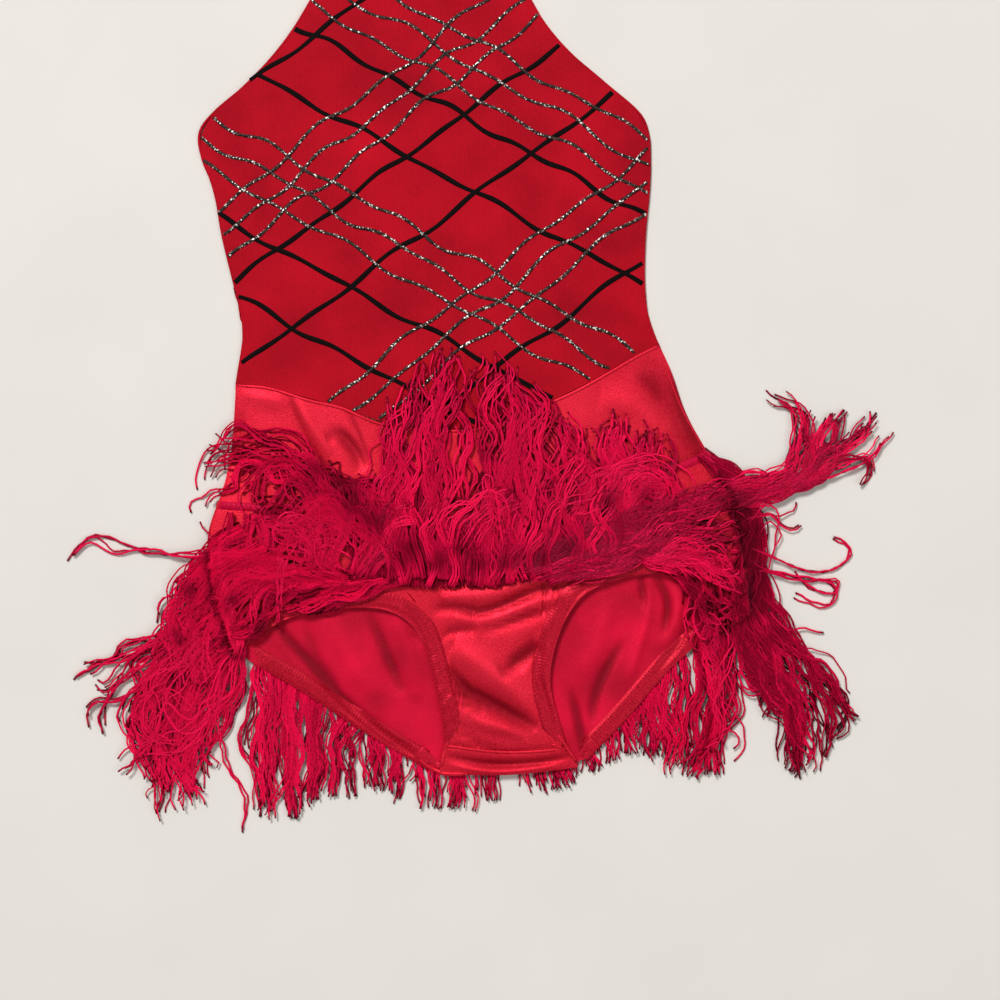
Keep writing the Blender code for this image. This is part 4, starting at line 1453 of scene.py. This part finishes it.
BACK_FLOWS = (
    Flow(
        fan(((254, 560), (712, 560)), BACK_TIPS),
        330, wander=2.6, gather=0.75, short=0.16, spread=3.0, rise=5.0, clump=8,
    ),
    Flow(
        fan(((254, 560), (470, 560)), BACK_TIPS[:13]),
        190, wander=4.0, gather=0.3, short=0.3, spread=4.0, rise=6.0, clump=7,
    ),
    Flow(
        (
            ((505, 560), (520, 650), (527, 730), (531, 800)),
            ((520, 560), (538, 650), (546, 730), (549, 797)),
            ((540, 560), (556, 650), (563, 725), (572, 791)),
            ((556, 560), (574, 650), (583, 720), (594, 777)),
            ((572, 560), (590, 650), (600, 710), (610, 766)),
        ),
        60, wander=3.0, curl=1.4, gather=0.5, short=0.12, spread=3.0, rise=5.0, clump=5,
    ),
    Flow(
        fan(((600, 560), (712, 560)), BACK_TIPS[18:]),
        90, wander=4.0, gather=0.3, short=0.25, spread=4.0, rise=6.0, clump=7,
    ),
)

SIDE_LEFT_FLOWS = (
    Flow(
        (
            ((222, 560), (190, 615), (150, 665), (132, 700), (130, 735), (120, 768)),
            ((223, 570), (195, 620), (160, 670), (142, 715), (148, 760), (143, 784)),
            ((225, 580), (200, 640), (170, 690), (160, 740), (158, 780), (158, 826)),
            ((228, 590), (210, 650), (185, 700), (175, 745), (172, 790), (176, 802)),
            ((230, 600), (218, 655), (200, 705), (188, 745), (182, 780), (186, 812)),
            ((232, 608), (232, 660), (222, 705), (205, 740), (198, 765), (203, 796)),
            ((234, 612), (245, 660), (238, 700), (215, 735), (205, 750), (207, 778)),
        ),
        200, wander=4.6, curl=2.2, gather=0.45, short=0.36, rise=9.0, spread=3.6, tone=0.92, clump=6,
    ),
    Flow(
        (
            ((215, 600), (165, 632), (122, 645), (115, 655), (95, 661), (79, 663)),
            ((215, 605), (165, 636), (120, 655), (100, 662), (88, 670), (69, 683)),
            ((215, 610), (160, 640), (128, 660), (118, 675), (105, 688), (91, 684)),
            ((212, 612), (165, 645), (125, 680), (110, 700), (100, 720), (103, 738)),
            ((210, 620), (150, 675), (120, 700), (95, 703), (85, 712), (83, 732)),
        ),
        20, wander=1.5, gather=0.8, short=0.12, spread=1.0, clump=1,
    ),
    Flow(
        (
            ((240, 525), (205, 548), (180, 585), (168, 625), (160, 660)),
            ((262, 545), (225, 560), (195, 590), (180, 630), (170, 680)),
            ((285, 560), (250, 565), (215, 590), (195, 630), (185, 690)),
            ((300, 572), (265, 578), (232, 592), (208, 628), (200, 690)),
        ),
        170, wander=4.4, curl=2.6, short=0.5, rise=12.0, spread=3.4, clump=6, tone=0.9,
    ),
    Flow(
        (
            ((232, 650), (205, 690), (185, 720), (165, 700), (150, 715)),
            ((215, 630), (180, 660), (150, 690), (150, 730), (180, 750)),
            ((240, 640), (225, 690), (190, 735), (160, 745), (140, 758)),
            ((210, 640), (170, 700), (150, 740), (130, 760), (116, 771)),
        ),
        26, wander=4.0, curl=3.0, short=0.3, rise=11.0, spread=5.0, clump=1,
    ),
    Flow(
        (
            ((224, 548), (185, 553), (147, 554), (98, 536), (74, 553), (67, 566)),
            ((224, 552), (190, 556), (150, 548), (110, 552), (90, 540), (66, 559)),
            ((232, 655), (220, 680), (216, 715), (225, 760), (243, 800), (240, 838)),
            ((222, 545), (205, 532), (198, 522)),
            ((236, 480), (222, 487), (208, 490), (200, 500), (190, 506), (194, 515)),
        ),
        8, wander=1.0, gather=1.0, short=0.05, spread=0.6, clump=1,
    ),
)

SIDE_RIGHT_FLOWS = (
    Flow(
        (
            ((700, 452), (722, 474), (737, 505), (744, 550), (745, 590), (738, 640)),
            ((704, 455), (728, 472), (744, 500), (752, 545), (753, 590), (746, 645)),
            ((708, 460), (736, 476), (752, 510), (760, 550), (757, 600), (752, 650)),
        ),
        120, wander=3.4, curl=2.0, rise=9.0, tone=0.42, spread=4.0, clump=7, short=0.3,
    ),
    Flow(
        (
            ((757, 560), (772, 605), (805, 655), (832, 676), (838, 700), (855, 724)),
            ((755, 560), (768, 600), (790, 640), (815, 680), (833, 710), (832, 740), (829, 762)),
            ((750, 565), (760, 610), (785, 660), (805, 700), (815, 740), (818, 774)),
            ((745, 570), (750, 620), (772, 670), (795, 710), (800, 745), (800, 783)),
            ((740, 575), (745, 625), (760, 670), (785, 705), (790, 740), (785, 772)),
            ((735, 580), (735, 630), (750, 665), (768, 690), (765, 705), (763, 712)),
        ),
        165, wander=4.0, curl=2.0, gather=0.6, short=0.34, rise=9.0, spread=3.6, tone=0.4, clump=5,
    ),
    Flow(
        (
            ((715, 590), (722, 640), (732, 690), (722, 740), (715, 778)),
            ((700, 600), (712, 650), (712, 700), (700, 750), (690, 782)),
            ((690, 606), (700, 650), (695, 700), (688, 740), (683, 782)),
        ),
        70, wander=4.0, curl=1.2, gather=0.5, short=0.3, rise=5.0, spread=3.4, clump=6,
    ),
    Flow(
        (
            ((670, 500), (735, 484), (775, 480), (796, 460), (800, 425), (790, 403), (765, 388)),
            ((665, 506), (735, 488), (780, 484), (806, 458), (806, 430), (803, 408)),
            ((660, 512), (735, 492), (785, 486), (815, 458), (824, 436), (838, 411)),
            ((672, 510), (735, 496), (790, 488), (822, 462), (836, 432), (842, 402)),
            ((668, 516), (738, 494), (790, 486), (830, 460), (848, 440), (872, 404)),
            ((664, 520), (738, 496), (790, 489), (833, 463), (862, 436), (878, 421)),
            ((690, 512), (740, 498), (790, 491), (836, 466), (870, 452), (892, 418)),
            ((700, 514), (742, 500), (790, 495), (830, 474), (862, 460), (868, 474), (864, 494)),
        ),
        120, wander=3.4, curl=2.2, pitch=32.0, gather=0.85, short=0.3,
        rise=8.0, spread=3.0, tone=0.62, clump=5,
    ),
    Flow(
        (
            ((725, 600), (740, 640), (745, 670), (762, 690), (752, 672), (735, 640)),
            ((690, 620), (715, 660), (728, 700), (720, 740), (700, 770)),
            ((730, 620), (728, 660), (720, 700), (728, 740), (724, 748)),
        ),
        12, wander=3.0, curl=3.0, short=0.2, rise=7.0, spread=4.0, clump=1,
    ),
    Flow(
        (
            ((750, 548), (765, 554), (797, 569), (826, 571), (847, 563), (852, 548), (833, 535)),
            ((750, 560), (766, 569), (820, 581), (838, 592), (815, 590), (791, 572)),
            ((752, 575), (766, 571), (800, 580), (835, 580), (839, 588), (828, 606), (793, 594)),
            ((745, 520), (770, 515), (790, 530), (803, 524)),
            ((748, 525), (765, 508), (778, 512), (775, 545), (768, 572), (760, 560)),
            ((757, 540), (770, 522), (780, 536), (770, 560)),
            ((770, 612), (787, 628), (805, 629), (826, 634)),
            ((742, 505), (770, 515), (792, 512), (800, 500)),
        ),
        12, wander=0.6, gather=1.0, short=0.03, spread=0.5, clump=1,
    ),
)

FRONT_UPPER_LEFT_FLOWS = (
    Flow(
        (
            ((225, 512), (222, 540), (212, 565), (190, 592)),
            ((262, 515), (265, 545), (255, 570), (232, 590)),
            ((303, 520), (300, 550), (290, 575), (270, 592)),
        ),
        80, wander=3.6, curl=3.0, rise=7.0, spread=3.0, clump=7,
    ),
    Flow(
        (
            ((350, 575), (362, 530), (346, 500), (330, 480), (300, 470)),
            ((372, 576), (392, 540), (382, 510), (366, 490), (345, 478)),
            ((330, 572), (325, 540), (300, 520), (275, 512)),
            ((300, 565), (290, 540), (265, 525), (245, 535)),
        ),
        150, wander=5.5, curl=5.5, pitch=28.0, short=0.45, rise=9.0, tone=0.62, spread=3.0, clump=5,
    ),
    Flow(
        (
            ((330, 570), (345, 520), (325, 470), (285, 442), (245, 434), (215, 447), (198, 441)),
            ((320, 570), (325, 520), (305, 480), (270, 457), (240, 456), (222, 470), (208, 490)),
            ((310, 572), (305, 530), (285, 495), (255, 475), (232, 482), (215, 496), (192, 515)),
        ),
        56, wander=4.5, curl=3.0, short=0.62, rise=9.0, spread=3.4, clump=4,
    ),
    Flow(
        (
            ((300, 480), (280, 462), (255, 470), (240, 490), (255, 500)),
            ((340, 500), (320, 480), (290, 490), (280, 520), (300, 535)),
            ((360, 540), (340, 520), (310, 525), (300, 550), (325, 565)),
            ((390, 545), (375, 520), (350, 525), (345, 555), (370, 570)),
        ),
        70, wander=5.0, curl=6.0, pitch=34.0, short=0.4, rise=10.0, spread=7.0, clump=6,
    ),
)

FRONT_UPPER_RIGHT_FLOWS = (
    Flow(
        (
            ((600, 555), (605, 510), (600, 460), (610, 408)),
            ((620, 552), (632, 510), (625, 465), (628, 425)),
            ((640, 548), (652, 505), (640, 460), (642, 430)),
            ((660, 542), (672, 510), (664, 475), (655, 440)),
        ),
        150, wander=5.0, curl=4.0, pitch=32.0, short=0.42, rise=8.0, spread=4.0, clump=7,
    ),
    Flow(
        (
            ((600, 500), (620, 470), (645, 480), (640, 505)),
            ((630, 510), (650, 484), (672, 492), (660, 515)),
            ((570, 520), (590, 480), (615, 450), (600, 430)),
        ),
        60, wander=5.0, curl=6.0, pitch=34.0, short=0.4, rise=10.0, spread=7.0, clump=6,
    ),
)

FRONT_LOWER_FLOWS = (
    Flow(
        (
            ((352, 582), (362, 556), (352, 526)),
            ((380, 585), (376, 556), (372, 526)),
            ((430, 588), (426, 558), (432, 521)),
            ((480, 587), (482, 558), (476, 521)),
            ((530, 581), (532, 552), (540, 516)),
            ((580, 572), (584, 544), (590, 506)),
            ((622, 563), (628, 540), (640, 502)),
        ),
        280, wander=3.0, curl=2.0, pitch=26.0, short=0.5, rise=4.0, tone=0.5, spread=4.0, clump=3,
    ),
    Flow(
        (
            ((396, 580), (362, 584), (330, 592), (298, 604)),
            ((404, 584), (362, 592), (330, 603), (296, 614)),
            ((376, 578), (340, 584), (312, 590), (290, 598)),
        ),
        70, wander=3.0, curl=2.0, short=0.45, rise=5.0, tone=0.66, spread=3.0, clump=4,
    ),
    Flow(
        (
            ((350, 577), (310, 562), (262, 556), (215, 570), (182, 600), (165, 640)),
            ((345, 580), (300, 574), (258, 572), (226, 590), (206, 620), (192, 655)),
            ((340, 584), (300, 584), (266, 592), (252, 612), (238, 634), (215, 642), (192, 652)),
            ((390, 580), (350, 590), (320, 605), (300, 600)),
        ),
        110, wander=4.0, curl=2.4, short=0.45, rise=9.0, spread=3.2, tone=0.88, clump=5,
    ),
    Flow(
        (
            ((386, 577), (375, 540), (368, 500), (374, 460), (388, 415)),
            ((405, 577), (395, 530), (388, 480), (395, 430), (410, 390)),
            ((425, 578), (415, 530), (410, 470), (415, 410), (425, 360)),
            ((445, 579), (440, 520), (435, 460), (440, 400), (445, 345)),
            ((465, 579), (460, 520), (462, 460), (468, 400), (470, 340)),
            ((490, 577), (488, 520), (492, 460), (490, 400), (485, 350)),
            ((515, 573), (515, 520), (520, 460), (520, 410), (508, 365)),
            ((540, 570), (545, 520), (548, 470), (545, 420), (530, 385)),
            ((565, 565), (575, 520), (578, 475), (570, 440), (555, 410)),
            ((590, 557), (605, 515), (605, 475), (600, 445), (590, 432)),
        ),
        330, wander=4.6, curl=2.4, pitch=36.0, short=0.5, rise=7.0, spread=3.6, clump=5,
    ),
    Flow(
        (
            ((520, 568), (580, 540), (640, 512), (690, 492), (728, 484)),
            ((530, 576), (610, 550), (670, 522), (710, 508), (738, 505)),
            ((550, 580), (630, 556), (690, 537), (722, 530), (744, 530)),
            ((575, 578), (640, 560), (695, 548), (728, 548), (748, 556)),
        ),
        130, wander=4.0, curl=2.6, short=0.45, rise=9.0, spread=4.4, clump=5, tone=0.46,
    ),
    Flow(
        (
            ((388, 582), (384, 560), (380, 530), (392, 497)),
            ((423, 587), (424, 562), (421, 535), (430, 501)),
            ((455, 585), (454, 562), (458, 530), (452, 497)),
            ((493, 586), (495, 560), (492, 525), (505, 492)),
            ((533, 578), (530, 554), (545, 520), (540, 487)),
            ((578, 569), (586, 544), (580, 510), (600, 478)),
            ((613, 560), (620, 540), (614, 512), (625, 483)),
        ),
        190, wander=4.4, curl=3.6, pitch=30.0, short=0.4, rise=9.0, spread=4.0, clump=7,
    ),
    Flow(
        (
            ((470, 545), (492, 515), (520, 508), (532, 525), (520, 545)),
            ((440, 552), (430, 520), (445, 495), (462, 505), (458, 530)),
            ((560, 540), (580, 512), (585, 480), (570, 465), (560, 480)),
            ((500, 500), (485, 470), (495, 450), (512, 460), (510, 485)),
        ),
        24, wander=5.0, curl=6.0, pitch=36.0, short=0.5, rise=11.0, spread=6.0, clump=4,
    ),
    Flow(
        (
            ((640, 560), (680, 552), (715, 560), (742, 585)),
            ((655, 562), (695, 566), (722, 590), (738, 620)),
            ((660, 565), (690, 580), (704, 612), (722, 640)),
            ((668, 566), (700, 590), (690, 622), (706, 650)),
        ),
        84, wander=5.0, curl=5.5, pitch=26.0, rise=9.0, spread=5.0, clump=5, short=0.45,
    ),
    Flow(
        (
            ((279, 556), (282, 590), (276, 622)),
            ((283, 558), (279, 592), (281, 628)),
            ((288, 560), (284, 586), (279, 612)),
        ),
        6, wander=1.6, short=0.25, spread=1.2, rise=12.0, tone=0.6, clump=1,
    ),
)

# The fringes in the order that they are laid, each with its seed
FRINGES = (
    Fringe("fringe_back", BACK_FLOWS, 21, ceiling=0.8 * MM),
    Fringe("fringe_side_left", SIDE_LEFT_FLOWS, 22),
    Fringe("fringe_side_right", SIDE_RIGHT_FLOWS, 23),
    Fringe("fringe_front_upper_left", FRONT_UPPER_LEFT_FLOWS, 24),
    Fringe("fringe_front_upper_right", FRONT_UPPER_RIGHT_FLOWS, 25),
    Fringe("fringe_front_lower", FRONT_LOWER_FLOWS, 26),
)


@dataclass
class Studio:
    """The pale table, the soft lights and the camera straight above."""

    floor_size: float = 6.0
    floor_drop: float = 0.2 * MM
    lights: tuple = (("key", (-1.5, 2.5, 4.0), 190.0, 1.3), ("fill", (1.7, -0.9, 3.0), 26.0, 2.4))
    light_colour: tuple = (1.0, 0.985, 0.96)
    sky: tuple = (1.0, 0.98, 0.95, 1.0)
    sky_strength: float = 0.27

    def build(self) -> None:
        """Sets the table, the lights and the camera."""
        bpy.ops.object.select_all(action="DESELECT")
        bpy.ops.mesh.primitive_plane_add(size=self.floor_size, location=(0.0, 0.0, -self.floor_drop))
        table = bpy.context.object
        table.name = "table"
        table.data.materials.append(TableTop().material())
        for light in self.lights:
            self.light(*light)
        world = bpy.data.worlds.new("studio")
        world.use_nodes = True
        ground = world.node_tree.nodes["Background"]
        ground.inputs["Color"].default_value = self.sky
        ground.inputs["Strength"].default_value = self.sky_strength
        bpy.context.scene.world = world
        bpy.context.scene.view_settings.view_transform = "Standard"
        self.camera()

    def light(self, name: str, spot: tuple[float, float, float], power: float, size: float) -> None:
        """Adds one soft light that points at the garment."""
        lamp = bpy.data.lights.new(name, "AREA")
        lamp.energy = power
        lamp.size = size
        lamp.color = self.light_colour
        obj = placed(name, lamp)
        obj.location = spot
        obj.rotation_mode = "QUATERNION"
        obj.rotation_quaternion = (-Vector(spot)).to_track_quat("-Z", "Y")

    def camera(self) -> None:
        """Sets the camera straight above the picture's middle."""
        half = PICTURE_SIDE / 2
        x, y = on_table([(half, half)])[0]
        lens = bpy.data.cameras.new("camera")
        lens.lens = LENS
        lens.sensor_width = SENSOR
        obj = placed("camera", lens)
        obj.location = (x, y, PICTURE_SPAN * LENS / SENSOR + CLOTH_TOP)
        bpy.context.scene.camera = obj


@dataclass
class Leotard:
    """The whole garment, in the order that it is dressed."""

    finishes: dict[Slot, bpy.types.Material] = field(default_factory=dict)
    pieces: dict[str, bpy.types.Object] = field(default_factory=dict)

    def sheets(self) -> None:
        """Makes the finishes of the record's slots, the cloth sheets and the hems."""
        deep, bright = shade(170, 2, 38), shade(238, 12, 62)
        made = {
            Slot.RIB: RibbedCloth(),
            Slot.SATIN: Satin(),
            Slot.INSIDE: Satin("satin_inside_dressed", deep, bright, 1.6 * MM, 0.5, 0.12, 0.25),
            Slot.HEM: ElasticHem(),
            Slot.YARN: FringeYarn(),
        }
        self.finishes = {slot: finish.material() for slot, finish in made.items()}
        for node, side, slots in (
            ("back_bodice", Side.BACK, (Slot.RIB,)),
            ("back_brief", Side.BACK, (Slot.INSIDE, Slot.SATIN)),
            ("front_bodice", Side.FRONT, (Slot.RIB,)),
            ("front_brief", Side.FRONT, (Slot.SATIN,)),
            ("gusset", Side.FRONT, (Slot.SATIN,)),
            ("neck_band", Side.FRONT, (Slot.RIB,)),
        ):
            closed = node == "neck_band"
            finishes = tuple(self.finishes[slot] for slot in slots)
            shell = ClothShell(node, side, slots[0], finishes, 2 if closed else 3, closed=closed)
            self.pieces[node] = shell.build()
        for side, name in ((Side.FRONT, "front"), (Side.BACK, "back")):
            for end in ("left", "right"):
                node = f"leg_hem_{name}_{end}"
                hem = LegHem(node, side, Slot.HEM, (self.finishes[Slot.HEM],), wall=0.7 * MM)
                self.pieces[node] = hem.build()

    def declare(self) -> None:
        """Goes through the cut of each sheet: its flat width and length, its area and what it lies on. None
        of it is stated or kept; only what each lies on is made into a list.
        """
        back = [self.pieces["back_bodice"], self.pieces["back_brief"]]
        for node, flat, area, under in (
            ("back_bodice", (0.272, 0.264), 0.058, ()),
            ("back_brief", (0.324, 0.256), 0.058, ()),
            ("front_bodice", (0.272, 0.264), 0.058, back),
            ("front_brief", (0.324, 0.243), 0.045, back),
            ("gusset", (0.083, 0.019), 0.0015, ()),
            ("neck_band", (0.136, 0.028), 0.0038, back),
            ("leg_hem_front_left", (0.0105, 0.215), 0.0022, back),
            ("leg_hem_front_right", (0.0105, 0.215), 0.0022, back),
            ("leg_hem_back_left", (0.0105, 0.135), 0.0014, ()),
            ("leg_hem_back_right", (0.0105, 0.135), 0.0014, ()),
        ):
            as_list(under)

    def fringes(self, bare: Relief) -> None:
        """Lays the fringe under the back first, then the others over the cloth.

        Args:
            bare: the relief of the cloth and tapes.
        """
        yarn = self.finishes[Slot.YARN]
        under = Relief()
        under.covered = bare.heights > 0
        FRINGES[0].lay(under, Relief())
        FRINGES[0].build(under, yarn)
        bed = Relief()
        bed.heights = np.maximum(bare.heights, under.heights)
        bare.heights = np.maximum(bare.heights, np.minimum(under.heights, 3 * MM))
        for fringe in FRINGES[1:]:
            fringe.lay(bed, bare)
        for fringe in FRINGES[1:]:
            fringe.build(bed, yarn)

    def build(self) -> None:
        """Builds the garment."""
        self.sheets()
        bare = Relief()
        bodice = Relief()
        bodice.cover([self.pieces["front_bodice"]])
        bare.cover(self.pieces.values())
        log.info("relief top %.1f mm", bare.heights.max() / MM)
        Lattice(bodice).build(BlackTrim().material(), GlitterTrim().material())
        Stitching(bare, SewingThread().material(), self.finishes).build()
        self.fringes(bare)
        self.declare()


def main() -> None:
    """Dresses the garment and sets the studio, logging the relief's height and each piece's face count."""
    logging.basicConfig(level=logging.INFO, format="%(name)s: %(message)s")
    Studio().build()
    Leotard().build()


if __name__ == "__main__":
    main()
